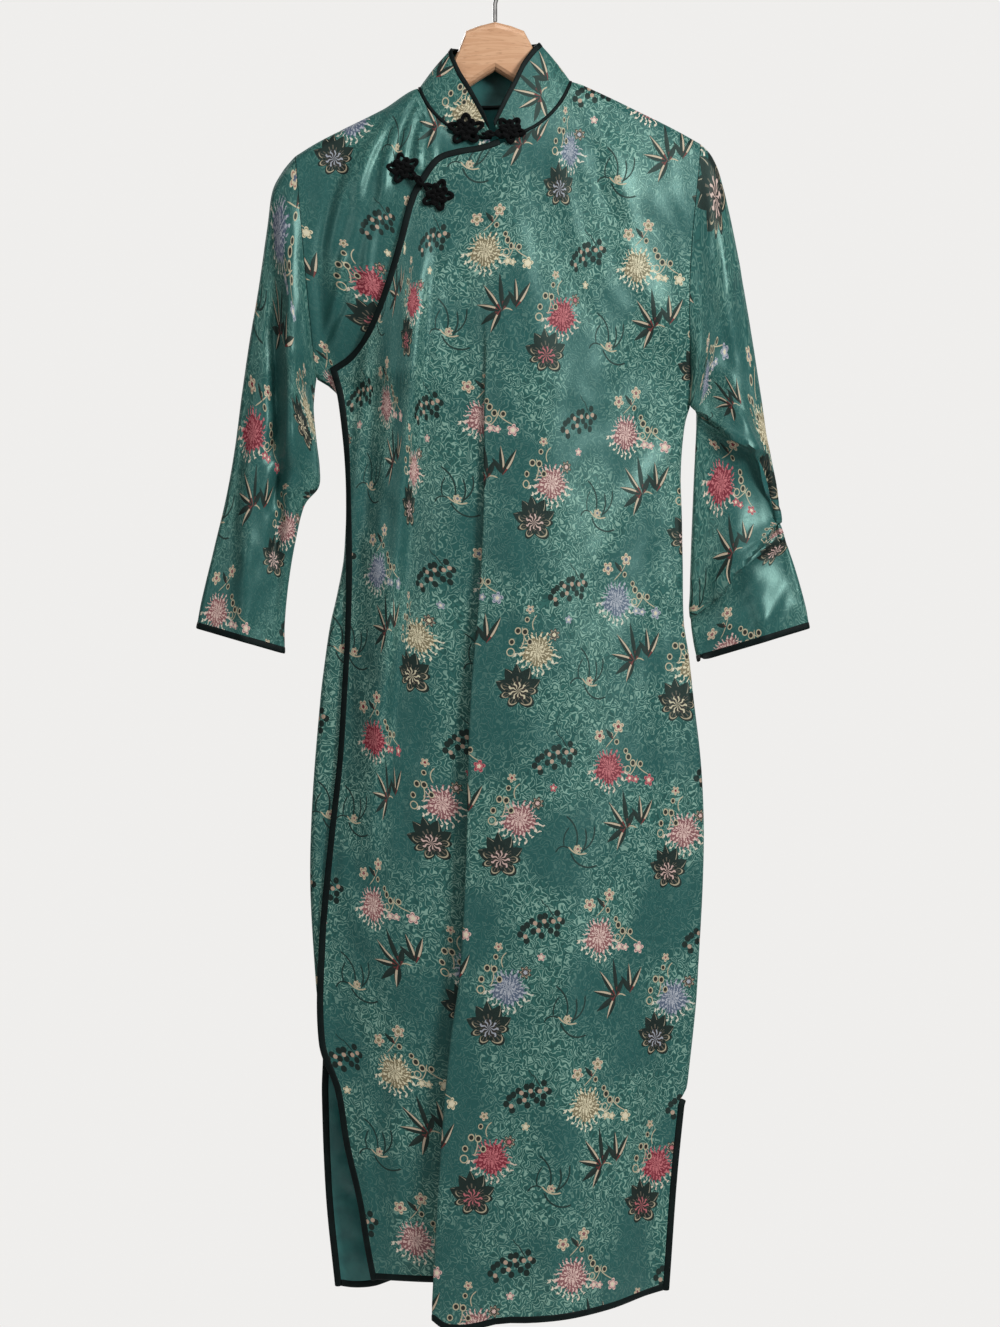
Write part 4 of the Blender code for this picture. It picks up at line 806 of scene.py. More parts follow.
# the whole figured cloth from its own coordinates in millimetres
def brocadeGroup():
    group, given, out = newGroup("brocade", {"Lines": "Float"},
                                 {"Colour": "Color", "Figure": "Float", "Height": "Float"})
    width, height = brocade["cell"]
    place = given["Vector"]
    dark, cream, shadow = tint("dark"), tint("cream"), tint("shadow")

    # place from the nearest repeat of a point
    def around(centre):
        rel = calcVector(group, "SUBTRACT", place, (*leaned(centre), 0))
        return calcVector(group, "WRAP", rel, (width / 2, height / 2, 1), (-width / 2, -height / 2, -1))

    # base and lit colour of the head in this row of its column
    def cycleColours(centre, shift):
        colours = len(brocade["cycle"])
        first = 0.5 - leaned(centre)[1] / height + shift
        row = timesPlus(group, splitXyz(group, place)[1], 1 / height, first)
        row = calc(group, "FLOOR", row)
        part = calc(group, "FRACT", timesPlus(group, row, 1 / colours, brocade["inStep"]))
        ramps = []
        for which in (0, 1):
            ramp = group.nodes.new("ShaderNodeValToRGB")
            ramp.color_ramp.interpolation = "CONSTANT"
            stops = ramp.color_ramp.elements
            for k, pair in enumerate(brocade["cycle"]):
                stop = stops[k] if k < 2 else stops.new(k / colours)
                stop.position, stop.color = k / colours, (*pair[which], 1)
            group.links.new(part, ramp.inputs[0])
            ramps.append(ramp.outputs[0])
        return ramps

    # ground of winding lines on satin
    zones = noise(group, place, brocade["zones"], 1.0, dimensions="2D")
    worms = noise(group, place, brocade["worms"], 0.0, distortion=brocade["bends"], dimensions="2D")
    contour = calc(group, "PINGPONG", times(group, worms, brocade["count"]), 0.5)
    inZone = step(group, zones, *brocade["inZone"])
    least = brocade["lineLeast"]
    line = times(group, step(group, contour, *brocade["line"]), timesPlus(group, inZone, 1 - least, least))
    line = times(group, line, given["Lines"])
    along = calcVector(group, "MULTIPLY", place, brocade["grain"])
    fibre = noise(group, along, brocade["fibre"], 1.0, dimensions="2D")
    ground = blendColour(group, step(group, zones, *brocade["paleZone"]), tint("ground"), tint("pale"))
    shaded = times(group, step(group, fibre, *brocade["fibreStep"]), brocade["fibreShade"])
    ground = blendColour(group, shaded, ground, shadow)
    hollow = times(group, step(group, times(group, contour, -1), *brocade["hollow"]), inZone)
    ground = blendColour(group, times(group, hollow, brocade["hollowShade"]), ground, shadow)
    colour = blendColour(group, line, ground, tint("lines"))
    figure = None

    # lays one kind of figure over what is there
    def lay(mask, above):
        nonlocal colour, figure
        colour = blendColour(group, mask, colour, above)
        figure = mask if figure is None else calc(group, "MAXIMUM", figure, mask)

    # stems are arcs of circles
    def layStems(rows, above):
        covered = None
        for a, b, c, half in rows:
            centre, radius, turn, spread = circleThrough(a, b, c)
            turn -= math.radians(brocade["lean"])
            rel = around(centre)
            on = calc(group, "COMPARE", calcVector(group, "LENGTH", rel), radius, half)
            toward = calcVector(group, "DOT_PRODUCT", rel, (math.cos(turn), math.sin(turn), 0))
            on = times(group, on, moreThan(group, toward, radius * math.cos(spread)))
            covered = on if covered is None else calc(group, "MAXIMUM", covered, on)
        lay(covered, above)

    # share of the way out to the nearest of several round places
    def nearestShare(rows, squash=1.0):
        nearest = None
        for centre, radius in rows:
            rel = around(centre)
            if squash != 1:
                rel = calcVector(group, "MULTIPLY", rel, (squash, 1.0, 1.0))
            reach = calc(group, "DIVIDE", calcVector(group, "LENGTH", rel), float(radius))
            nearest = reach if nearest is None else calc(group, "MINIMUM", nearest, reach)
        return nearest

    def layGroup(kind, centre, **values):
        made = placeGroup(group, groups[kind], Vector=around(centre), **values)
        lay(made["Mask"], made["Colour"])

    def layLeaves(rows, light, root, lit):
        for foot, tip, half in rows:
            (x0, y0), (x1, y1) = leaned(foot), leaned(tip)
            dx, dy = x1 - x0, y1 - y0
            length = math.hypot(dx, dy)
            layGroup("leaf", foot, Along=(dx / length**2, dy / length**2, 0),
                     Across=(-dy / length, dx / length, 0), Width=half,
                     Light=light, Root=root, From=lit[0], To=lit[1])

    layStems(brocade["stems"], tint("stem"))
    berries = nearestShare([(p, brocade["berryRadius"]) for p in brocade["berries"]], brocade["squash"])
    lay(lessThan(group, berries, 1.0), dark)
    pale = nearestShare([(p, brocade["paleBerryRadius"]) for p in brocade["paleBerries"]])
    lay(lessThan(group, pale, 1.0), tint("paleBerry"))
    cycle = [cycleColours(centre, shift) for centre, shift in brocade["heads"]]
    for (centre, _), (base, lit) in zip(brocade["heads"], cycle):
        layGroup("chrysanthemum", centre, Base=base, Tick=lit)
    layLeaves(brocade["petals"], tint("petalLine"), dark, brocade["petalLit"])
    for centre, which in brocade["peonies"]:
        layGroup("peony", centre, Heart=cycle[which][1])
    layStems(brocade["paleStems"], tint("paleStem"))
    # fill, inner line and heart of each kind of blossom
    kinds = {
        "pale": (cream, tint("blossomLine"), cycle[0][0]),
        "cycle": (cycle[0][1], cycle[0][0], tint("blossomHeart")),
        "brown": (tint("brown"), tint("brownLine"), cycle[1][1]),
    }
    for centre, radius, petals, turn, kind in brocade["blossoms"]:
        fill, inner, heart = kinds[kind]
        layGroup("blossom", centre, Radius=float(radius), Petals=float(petals), Turn=float(turn),
                 Fill=fill, Line=inner, Heart=heart)
    pods = nearestShare(brocade["pods"], brocade["squash"])
    lay(lessThan(group, pods, brocade["podRimSize"]), tint("podRim"))
    lay(lessThan(group, pods, brocade["podSize"]), tint("pod"))
    lay(calc(group, "COMPARE", nearestShare(brocade["rings"]), *brocade["ring"]), tint("ring"))
    leaves = brocade["leaves"]
    for kind in ("dark", "pale"):
        rows = [row[:3] for row in leaves if bool(row[3]) == (kind == "pale")]
        layLeaves(rows, tint(kind + "Leaf"), tint(kind + "Root"), brocade[kind + "Lit"])
    weave = times(group, fibre, brocade["weaveRelief"])
    relief = calc(group, "ADD", times(group, line, brocade["lineRelief"]), weave)
    return putOut(group, out, Colour=colour, Figure=figure, Height=relief)


def newLook(name):
    look = bpy.data.materials.new(name)
    look.use_nodes = True
    tree = look.node_tree
    return look, tree, tree.nodes["Principled BSDF"]


def addBump(tree, shader, height, strength, distance):
    bump = tree.nodes.new("ShaderNodeBump")
    setInputs(tree, bump, {"Strength": strength, "Distance": distance, "Height": height})
    tree.links.new(bump.outputs[0], shader.inputs["Normal"])


# figured silk. Roughness grows on the figures, and where the cloth is seen almost along its surface
silk = {
    "rough": 0.33, "figureRough": 0.25, "edgeRough": 0.5, "edge": (0.42, 0.78),
    "bump": 0.35, "bumpDepth": 0.0006,
    "shader": {"Sheen Weight": 0.03, "Sheen Roughness": 0.35, "Specular IOR Level": 0.62,
               "Specular Tint": (0.55, 0.90, 0.80, 1)},
}


# shift moves the pattern on a piece, turn leans it, lines sets how strong the ground lines are
def brocadeLook(name, shift=(0, 0), turn=0.0, lines=0.7):
    look, tree, shader = newLook(name)
    cloth = tree.nodes.new("ShaderNodeUVMap")
    cloth.uv_map = "cloth"
    mapping = tree.nodes.new("ShaderNodeMapping")
    setInputs(tree, mapping, {"Vector": cloth.outputs[0], "Location": (*shift, 0),
                              "Rotation": (0, 0, math.radians(turn)), "Scale": (1000, -1000, 0)})
    made = placeGroup(tree, groups["brocade"], Vector=mapping.outputs[0], Lines=lines)
    satin = timesPlus(tree, made["Figure"], silk["figureRough"], silk["rough"])
    edge = step(tree, tree.nodes.new("ShaderNodeLayerWeight").outputs["Facing"], *silk["edge"])
    setInputs(tree, shader, {"Base Color": made["Colour"], **silk["shader"],
                             "Roughness": timesPlus(tree, edge, silk["edgeRough"], satin, clamp=True)})
    addBump(tree, shader, made["Height"], silk["bump"], silk["bumpDepth"])
    return look


# fine threads crossing, for the plain cloths: cloud is the size of their uneven wear
threads = {"crossing": 0.3, "cloud": 0.06, "sheenRoughness": 0.45, "bumpDepth": 0.0004, "wear": (0.3, 0.7),
           "fullTurn": 6.2832}


def threadGroup():
    group, given, out = newGroup("threads", {"Pitch": "Float"}, {"Height": "Float", "Wear": "Float"})
    scaled = calcVector(group, "MULTIPLY", given["Vector"], (1000.0, 1000.0, 1000.0))
    x, _, z = splitXyz(group, scaled)
    turn = calc(group, "DIVIDE", threads["fullTurn"], given["Pitch"])
    a, b = [calc(group, "SINE", times(group, calc(group, how, x, z), turn)) for how in ("ADD", "SUBTRACT")]
    cloudy = noise(group, scaled, threads["cloud"], 3.0)
    relief = timesPlus(group, times(group, a, b), threads["crossing"], cloudy)
    return putOut(group, out, Height=relief, Wear=cloudy)


def plainCloth(name, dark, light, pitch, roughness, sheen, bump, shine):
    look, tree, shader = newLook(name)
    woven = placeGroup(tree, groups["threads"], Vector=objectPlace(tree), Pitch=pitch)
    colour = blendColour(tree, step(tree, woven["Wear"], *threads["wear"]), (*dark, 1), (*light, 1))
    setInputs(tree, shader, {"Base Color": colour, "Roughness": roughness, "Sheen Weight": sheen,
                             "Sheen Roughness": threads["sheenRoughness"], "Specular IOR Level": shine})
    addBump(tree, shader, woven["Height"], bump, threads["bumpDepth"])
    return look


beech = {
    "pale": (0.74, 0.44, 0.26, 1), "grain": (0.55, 0.27, 0.135, 1), "pores": (0.34, 0.15, 0.07, 1),
    "grainSize": (7.0, 60.0, 60.0), "poreSize": (90.0, 900.0, 900.0), "rings": 6.0, "grainShare": 0.45,
    "poreShare": 0.5, "rough": 0.34, "roughRings": 0.15,
    "coat": {"Coat Weight": 0.25, "Coat Roughness": 0.25},
    # noise of the grain, where its rings and the flecks of its pores show, and its relief
    "figure": (1.6, 3.0, 0.55, 0.8), "ringStep": (0.05, 0.48), "fleckStep": (0.6, 0.72),
    "bump": (0.12, 0.0003),
}


def woodLook():
    look, tree, shader = newLook("beech")
    place = objectPlace(tree)
    figure = noise(tree, calcVector(tree, "MULTIPLY", place, beech["grainSize"]), *beech["figure"])
    rings = calc(tree, "PINGPONG", times(tree, figure, beech["rings"]), 0.5)
    pores = noise(tree, calcVector(tree, "MULTIPLY", place, beech["poreSize"]), 1.0, 2.0)
    colour = blendColour(tree, step(tree, rings, *beech["ringStep"]), beech["pale"], beech["grain"])
    colour = blendColour(tree, beech["grainShare"], beech["pale"], colour)
    flecks = times(tree, step(tree, pores, *beech["fleckStep"]), beech["poreShare"])
    colour = blendColour(tree, flecks, colour, beech["pores"])
    rough = timesPlus(tree, rings, beech["roughRings"], beech["rough"])
    setInputs(tree, shader, {"Base Color": colour, "Roughness": rough, **beech["coat"]})
    addBump(tree, shader, pores, *beech["bump"])
    return look


steel = {
    "bright": (0.60, 0.585, 0.565, 1), "dull": (0.44, 0.43, 0.42, 1), "scratchSize": (1500.0, 1500.0, 240.0),
    "dullSize": 90.0, "dullStep": (0.35, 0.7), "rough": 0.2, "roughScratches": 0.25, "bump": (0.08, 0.0002),
}


def steelLook():
    look, tree, shader = newLook("hookSteel")
    place = objectPlace(tree)
    scratches = noise(tree, calcVector(tree, "MULTIPLY", place, steel["scratchSize"]), 1.0, 3.0)
    dull = step(tree, noise(tree, place, steel["dullSize"]), *steel["dullStep"])
    rough = timesPlus(tree, scratches, steel["roughScratches"], steel["rough"])
    setInputs(tree, shader, {"Base Color": blendColour(tree, dull, steel["bright"], steel["dull"]),
                             "Metallic": 1.0, "Roughness": rough})
    addBump(tree, shader, scratches, *steel["bump"])
    return look


groups = {
    "chrysanthemum": chrysanthemumGroup(), "blossom": blossomGroup(), "peony": peonyGroup(),
    "leaf": leafGroup(), "threads": threadGroup(),
}
groups["brocade"] = brocadeGroup()
# plain cloths: dark and light tint, pitch of the threads, roughness, sheen, bump, shine
looks = {
    "front": brocadeLook("frontBrocade", shift=(-171, 195), turn=-brocade["lean"], lines=0.64),
    "back": brocadeLook("backBrocade", shift=(-20, 40), lines=0.62),
    "underlap": brocadeLook("underlapBrocade", shift=(-171, 195), turn=-brocade["lean"], lines=0.22),
    "sleeve": brocadeLook("sleeveBrocade", lines=0.32),
    "collar": brocadeLook("collarBrocade", lines=0.3),
    "lining": plainCloth("lining", (0.020, 0.125, 0.120), (0.034, 0.175, 0.165), 0.9, 0.24, 0.08, 0.2, 0.6),
    "binding": plainCloth("bindingSatin", (0.0012, 0.0050, 0.0050), (0.0028, 0.0095, 0.0090),
                          1.1, 0.5, 0.02, 0.4, 0.14),
    "velvet": plainCloth("frogVelvet", (0.0010, 0.0012, 0.0014), (0.0022, 0.0026, 0.0030),
                         1.4, 0.8, 0.06, 0.7, 0.10),
    "wood": woodLook(),
    "steel": steelLook(),
}
print("finishes made")


# directions square to a grid of points, on its outer side
def gridNormals(grid, closed, outward):
    if closed:
        along = unit(np.roll(grid, -1, axis=1) - grid) + unit(grid - np.roll(grid, 1, axis=1))
    else:
        step = unit(grid[:, 1:] - grid[:, :-1])
        along = np.concatenate([step[:, :1], step[:, 1:] + step[:, :-1], step[:, -1:]], axis=1)
    step = unit(grid[1:] - grid[:-1])
    down = np.concatenate([step[:1], step[1:] + step[:-1], step[-1:]], axis=0)
    return unit(np.cross(along, down)) * outward


# cloth of even thickness on a grid: brocade outside, lining inside, UV in metres of cloth
def clothShell(name, grid, uv, outward, look, closed=False, seams=None):
    rows, columns = grid.shape[:2]
    normals = gridNormals(grid, closed, outward)
    for (i, j), direction in (seams or {}).items():
        normals[i, j] = direction
    half = clothWall / 2 * mm
    points = np.concatenate([(grid + normals * half).reshape(-1, 3), (grid - normals * half).reshape(-1, 3)])
    last = columns if closed else columns - 1
    i, j = np.meshgrid(np.arange(rows - 1), np.arange(last), indexing="ij")
    i, j = i.ravel(), j.ravel()
    jn = (j + 1) % columns
    above, below = i * columns, (i + 1) * columns
    face = np.stack([above + j, above + jn, below + jn, below + j], axis=1)
    cornerUv = np.stack([uv[i, j], uv[i, j + 1], uv[i + 1, j + 1], uv[i + 1, j]], axis=1)
    middle = len(face) // 2
    a, b, c = (points[face[middle, k]] for k in (0, 1, 2))
    if np.cross(b - a, c - a) @ normals.reshape(-1, 3)[face[middle, 0]] < 0:
        face, cornerUv = face[:, ::-1], cornerUv[:, ::-1]
    inner = rows * columns
    faces = [face, face[:, ::-1] + inner]
    uvs = [cornerUv, cornerUv[:, ::-1]]
    # edges used once are the rim, which a strip of faces closes
    sides = ([0, 1], [1, 2], [2, 3], [3, 0])
    edges = np.concatenate([face[:, side] for side in sides])
    edgeUv = np.concatenate([cornerUv[:, side] for side in sides])
    _, index, count = np.unique(np.sort(edges, axis=1), axis=0, return_index=True, return_counts=True)
    rim = index[count == 1]
    pair, pairUv = edges[rim], edgeUv[rim]
    faces.append(np.stack([pair[:, 1], pair[:, 0], pair[:, 0] + inner, pair[:, 1] + inner], axis=1))
    uvs.append(np.stack([pairUv[:, 1], pairUv[:, 0], pairUv[:, 0], pairUv[:, 1]], axis=1))
    slots = np.concatenate([np.zeros(len(face)), np.ones(len(face)), np.zeros(len(rim))]).astype(np.int32)
    shell = newMesh(name, points, np.concatenate(faces), np.concatenate(uvs), (looks[look], looks["lining"]))
    shell.data.set_sharp_from_angle(angle=math.radians(50))
    shell.data.polygons.foreach_set("material_index", slots)
    return shell, normals


def addObject(name, data):
    made = bpy.data.objects.new(name, data)
    bpy.context.collection.objects.link(made)
    return made


def newMesh(name, points, faces, uv, materials):
    mesh = bpy.data.meshes.new(name)
    mesh.from_pydata(points.tolist(), [], faces if isinstance(faces, list) else faces.tolist())
    layer = mesh.uv_layers.new(name="cloth")
    layer.data.foreach_set("uv", np.asarray(uv, dtype=np.float32).reshape(-1))
    for look in materials:
        mesh.materials.append(look)
    mesh.update()
    mesh.shade_smooth()
    return addObject(name, mesh)


def rowDots(a, b):
    return np.einsum("ij,ij->i", a, b)


# lengths along a line of points
def runAlong(line):
    return np.concatenate([[0], np.cumsum(np.linalg.norm(np.diff(line, axis=0), axis=1))])


# two smaller rings that round a strip's end: how far out, and their size
roundEnd = ((0.55, 0.8), (0.9, 0.4))


# a cord or folded strip: an oval section along a line, closed into a ring or with rounded ends
def oval(name, centres, wide, tall, material, closed=False, sides=12, round=0.8):
    centres, wide, tall = np.asarray(centres), np.asarray(wide), np.asarray(tall)
    turns = np.linspace(0, 2 * math.pi, sides, endpoint=False)
    c, s = np.cos(turns), np.sin(turns)
    c, s = np.sign(c) * np.abs(c) ** round, np.sign(s) * np.abs(s) ** round
    sections = centres[:, None] + wide[:, None] * c[None, :, None] + tall[:, None] * s[None, :, None]
    run = runAlong(centres)
    if not closed:
        caps = []
        for end, inner in ((0, 1), (-1, -2)):
            out = unit(centres[end] - centres[inner]) * np.linalg.norm(tall[end])
            for away, size in roundEnd:
                caps.append(centres[end] + out * away + (sections[end] - centres[end]) * size)
        sections = np.concatenate([[caps[1], caps[0]], sections, [caps[2], caps[3]]])
        run = np.concatenate([[run[0] - 2 * mm, run[0] - mm], run, [run[-1] + mm, run[-1] + 2 * mm]])
    count = len(sections)
    points = sections.reshape(-1, 3)
    i, j = np.meshgrid(np.arange(count if closed else count - 1), np.arange(sides), indexing="ij")
    i, j = i.ravel(), j.ravel()
    jn, nxt = (j + 1) % sides, (i + 1) % count
    face = np.stack([i * sides + j, i * sides + jn, nxt * sides + jn, nxt * sides + j], axis=1)
    around = np.linalg.norm(wide, axis=-1).mean() * 4 / sides
    runNext = np.append(run[1:], run[-1] + mm)
    corners = ((run[i], j), (run[i], j + 1), (runNext[i], j + 1), (runNext[i], j))
    uv = np.stack([np.stack([along, turn * around], axis=1) for along, turn in corners], axis=1)
    faces, uvs = face.tolist(), uv.reshape(-1, 2).tolist()
    if not closed:
        for ring in (range(sides - 1, -1, -1), range((count - 1) * sides, count * sides)):
            faces.append(list(ring))
            uvs += [(0, 0)] * sides
    strip = newMesh(name, points, faces, uvs, (material,))
    # faces point outwards: the volume under them is positive
    a, b, c, d = (points[face[:, k]] for k in range(4))
    if rowDots(a, np.cross(b, c)).sum() + rowDots(a, np.cross(c, d)).sum() < 0:
        strip.data.flip_normals()
    return strip


# binding beside a panel's edge. away points from the panel, endExtra lengthens it past its ends
def rolledBinding(name, rail, normals, away, closed=False, endExtra=(0, 0), trim=False):
    rail, normals, away = np.asarray(rail), np.asarray(normals), np.asarray(away)
    a, b = unit(rail - np.roll(rail, 1, axis=0)), unit(np.roll(rail, -1, axis=0) - rail)
    if not closed:
        a[0], b[-1] = b[0], a[-1]
    out = unit(np.cross(unit(a + b), normals))
    out *= np.where(rowDots(out, away) < 0, -1, 1)[:, None]
    beside = unit(np.cross(b, normals))
    # at a corner the strip reaches further out, so that it keeps its width
    out /= np.maximum(np.abs(rowDots(out, beside)), binding["sharpest"])[:, None]
    low, high = rail - out * binding["over"] * mm, rail + out * (seamGap + binding["width"]) * mm
    if trim:
        for end, inner in ((0, 1), (-1, -2)):
            along = unit(rail[inner] - rail[end]) * mm
            low[end] += along * binding["trimLow"]
            high[end] += along * binding["trimHigh"]
    if not closed:
        for end, extra in ((0, endExtra[0]), (-1, endExtra[1])):
            if extra:
                along = unit(rail[end] - rail[1 if end == 0 else -2]) * (extra - 1) * mm
                place = 0 if end == 0 else len(low)
                low, high, normals = [np.insert(line, place, line[end] + by, axis=0)
                                      for line, by in ((low, along), (high, along), (normals, 0))]
    return foldedStrip(name, low, high, normals, closed)


# a folded strip of binding between two lines
def foldedStrip(name, low, high, normals, closed=False):
    tall = normals * binding["thickness"] / 2 * mm
    return oval(name, (low + high) / 2, (high - low) / 2, tall, looks["binding"], closed,
                binding["sides"], binding["corner"])


# direction of the armhole ring in its plane, at an angle from the shoulder round the front
def ringDirection(side, angle):
    def ringPoint(turn):
        x, drop = armhole(side, (1 - math.cos(turn)) / 2)
        return vec(x, -bodiceFront(x, drop) if math.sin(turn) >= 0 else bodiceBack(x, drop), drop)

    near = 0.02
    tangent = unit(ringPoint(angle + near) - ringPoint(angle - near))
    (x0, d0), (x1, d1) = armholes[side]["top"], armholes[side]["bottom"]
    direction = unit(np.cross(tangent, unit(np.array((d1 - d0, 0.0, x1 - x0)))))
    x, drop = armhole(side, 0.5)
    return direction if direction @ (ringPoint(angle) - vec(x, 0, drop)) >= 0 else -direction


# direction of a panel's edge at the armhole, from the ring's own
def seamFace(side, drop, front):
    top, bottom = armholes[side]["top"][1], armholes[side]["bottom"][1]
    angle = math.acos(1 - 2 * min(max((drop - top) / (bottom - top), 0), 1))
    return ringDirection(side, angle if front else -angle)


# direction square to a line of points in the plane of the side and shoulder seams
def planeNormal(line, i):
    along = line[min(i + 1, len(line) - 1)] - line[max(i - 1, 0)]
    return unit(np.array((-along[2], 0.0, along[0])))


def facing(direction, axis, sign):
    return direction if direction[axis] * sign > 0 else -direction


# cloth coordinates of a grid: true length along each row from one column, and the drop
def clothUv(grid, flat, column, shift=(0, 0)):
    steps = np.linalg.norm(np.diff(grid, axis=1), axis=2)
    run = np.concatenate([np.zeros((len(grid), 1)), np.cumsum(steps, axis=1)], axis=1)
    s = run - run[:, column:column + 1] + flat[:, column:column + 1, 0] * mm
    t = -flat[:, :, 1] * mm
    return np.stack([s + shift[0] * mm, t + shift[1] * mm], axis=2), run


# long and short waves of the panels: their sizes, their height and the short ones' share of it
waves = {"long": 34, "short": 13, "height": 0.55, "shortShare": 0.6}


# light creases and drifting unevenness, held back over some millimetres at every edge
def crease(grid, flat, run, rows, sign, hold=18, seed=0.0):
    xs, drops = grid[:, :, 0] / mm, flat[:, :, 1]
    height = creaseHeight(rows, xs, drops)
    short = waves["shortShare"] * drift(xs, drops, waves["short"], seed + 3)
    height += waves["height"] * (drift(xs, drops, waves["long"], seed) + short)
    fade = np.ones_like(xs)
    for distance in (run / mm, (run[:, -1:] - run) / mm, drops - drops[:1], drops[-1:] - drops):
        fade *= smoothAll(distance / hold)
    grid[:, :, 1] += sign * height * fade * mm
    return grid


# a panel's grid of points and their places (x, drop) on the flat cloth, column by column from its top line to
# its bottom line, less what the binding takes. Each line is (drop at an x, a first guess)
def panelGrid(columns, rows, columnX, topLine, bottomLine, place, taken=0):
    grid, flat = [], []
    for j in range(columns + 1):
        top, bottom = [settle(lambda drop: columnX(j, drop), *line) for line in (topLine, bottomLine)]
        flat.append([(columnX(j, drop), drop) for drop in rowDrops(top, bottom - taken, rows)])
        grid.append([place(i, j, x, drop) for i, (x, drop) in enumerate(flat[-1])])
    return np.array(grid).transpose(1, 0, 2), np.array(flat).transpose(1, 0, 2)


# directions of a panel's edges: along an armhole and side seam, and along the shoulders past the neck
def sideSeam(seams, grid, flat, j, side, front, seamEnd):
    sign = armholes[side]["outward"]
    for i, drop in enumerate(flat[:, j, 1]):
        if drop <= armholes[side]["bottom"][1] + 1:
            seams[(i, j)] = seamFace(side, drop, front)
        elif drop < seamEnd:
            seams[(i, j)] = facing(planeNormal(grid[:, j], i), 0, sign)


def shoulderSeams(seams, grid, flat, columns, past):
    for j in columns:
        if past(flat[0, j, 0]):
            seams[(0, j)] = facing(planeNormal(grid[0], j), 2, 1)


# front panel: columns in each stretch, the main fold's own knots, x of the knots at the neck with their
# shares below it, the ridge left of the fold and how far it drifts, the knots at the right side, the turn of
# the fold over which the hem goes from one layer to the other, and how the overlap's binding ends at the neck
frontCut = {
    "columns": (3, 3, 3, 3, 2, 2, 2, 2, 2, 2, 2, 1, 2, 2, 2), "fine": 5, "rows": 215,
    "fold": (-0.43, -0.25, 0.25, 0.43, 1), "atNeck": ((44, 0.3), (66, 0.5), (75, 0.6), (79, 0.7)),
    "ridge": -46, "ridgeDrift": 22, "driftFrom": 420, "driftDown": 300, "ridgeShare": 0.72,
    "leftShare": 0.42, "neckFrom": 150, "neckDown": 250, "side": (46, 9),
    "flat": (0.52, 1.21), "area": 0.51, "straight": 0.84,
    "opening": 10, "overlapIn": 3.2, "hemTurn": 0.25,
    "edgePast": 6, "edgeAway": (-0.4, 0, 1), "edgeExtra": 4,
}


# what the binding takes of a panel's side along its slit
def slitRoom(drop, slitTop):
    return smooth((drop - slitTop + body["slitEase"]) / body["slitBlend"]) * binding["room"]


# flat x of a column of the front panel. Columns follow the folds
def frontColumn(share, drop):
    left = at(frontLeft, "x", drop) + binding["room"]
    arm = armholes["right"]["bottom"][1]
    right = armholeX("right", drop) - seamGap if drop < arm else at(sideRight, "x", drop)
    right -= slitRoom(drop, body["slitRight"])
    centre = at(mainFold, "edge", drop) + at(mainFold, "lap", drop) / 2
    half = at(mainFold, "half", drop)
    start = centre - half
    ridge = frontCut["ridge"]
    ridge -= frontCut["ridgeDrift"] * smooth((drop - frontCut["driftFrom"]) / frontCut["driftDown"])
    ridge = min(ridge, left + (start - left) * frontCut["ridgeShare"])
    knots = [left, left + (ridge - left) * frontCut["leftShare"], ridge, start]
    knots += [centre + half * k for k in frontCut["fold"]]
    lower, foldEnd = smooth((drop - frontCut["neckFrom"]) / frontCut["neckDown"]), knots[-1]
    inner, outer = (right - away for away in frontCut["side"])
    for atNeck, part in frontCut["atNeck"]:
        knots.append(atNeck * (1 - lower) + (foldEnd + (inner - foldEnd) * part) * lower)
    knots += [inner, outer, right]
    edges = np.concatenate([[0], np.cumsum(frontCut["columns"])])
    return float(np.interp(share * edges[-1], edges, knots))


def frontTopLine():
    outline = neckOutline(neck["middle"], neck["halfWidth"], neck["frontSag"])
    inFront = [point for point in outline if point[0] > frontCut["opening"]]
    return overlapLine(frontCut["overlapIn"]) + inFront + shoulderLine(inFront[-1][0] + 1)


def frontBottom(x):
    level = frontHem["level"]
    centre = at(mainFold, "edge", level) + at(mainFold, "lap", level) / 2
    turn = (x - centre) / at(mainFold, "half", level)
    rightLayer = at(frontHem, "drop", max(frontPoint(x, level)[0], frontHem["x"][0]), by="x")
    part = smooth((turn + frontCut["hemTurn"]) / (2 * frontCut["hemTurn"]))
    return (frontHem["leftLayer"] * (1 - part) + rightLayer * part) - binding["room"]


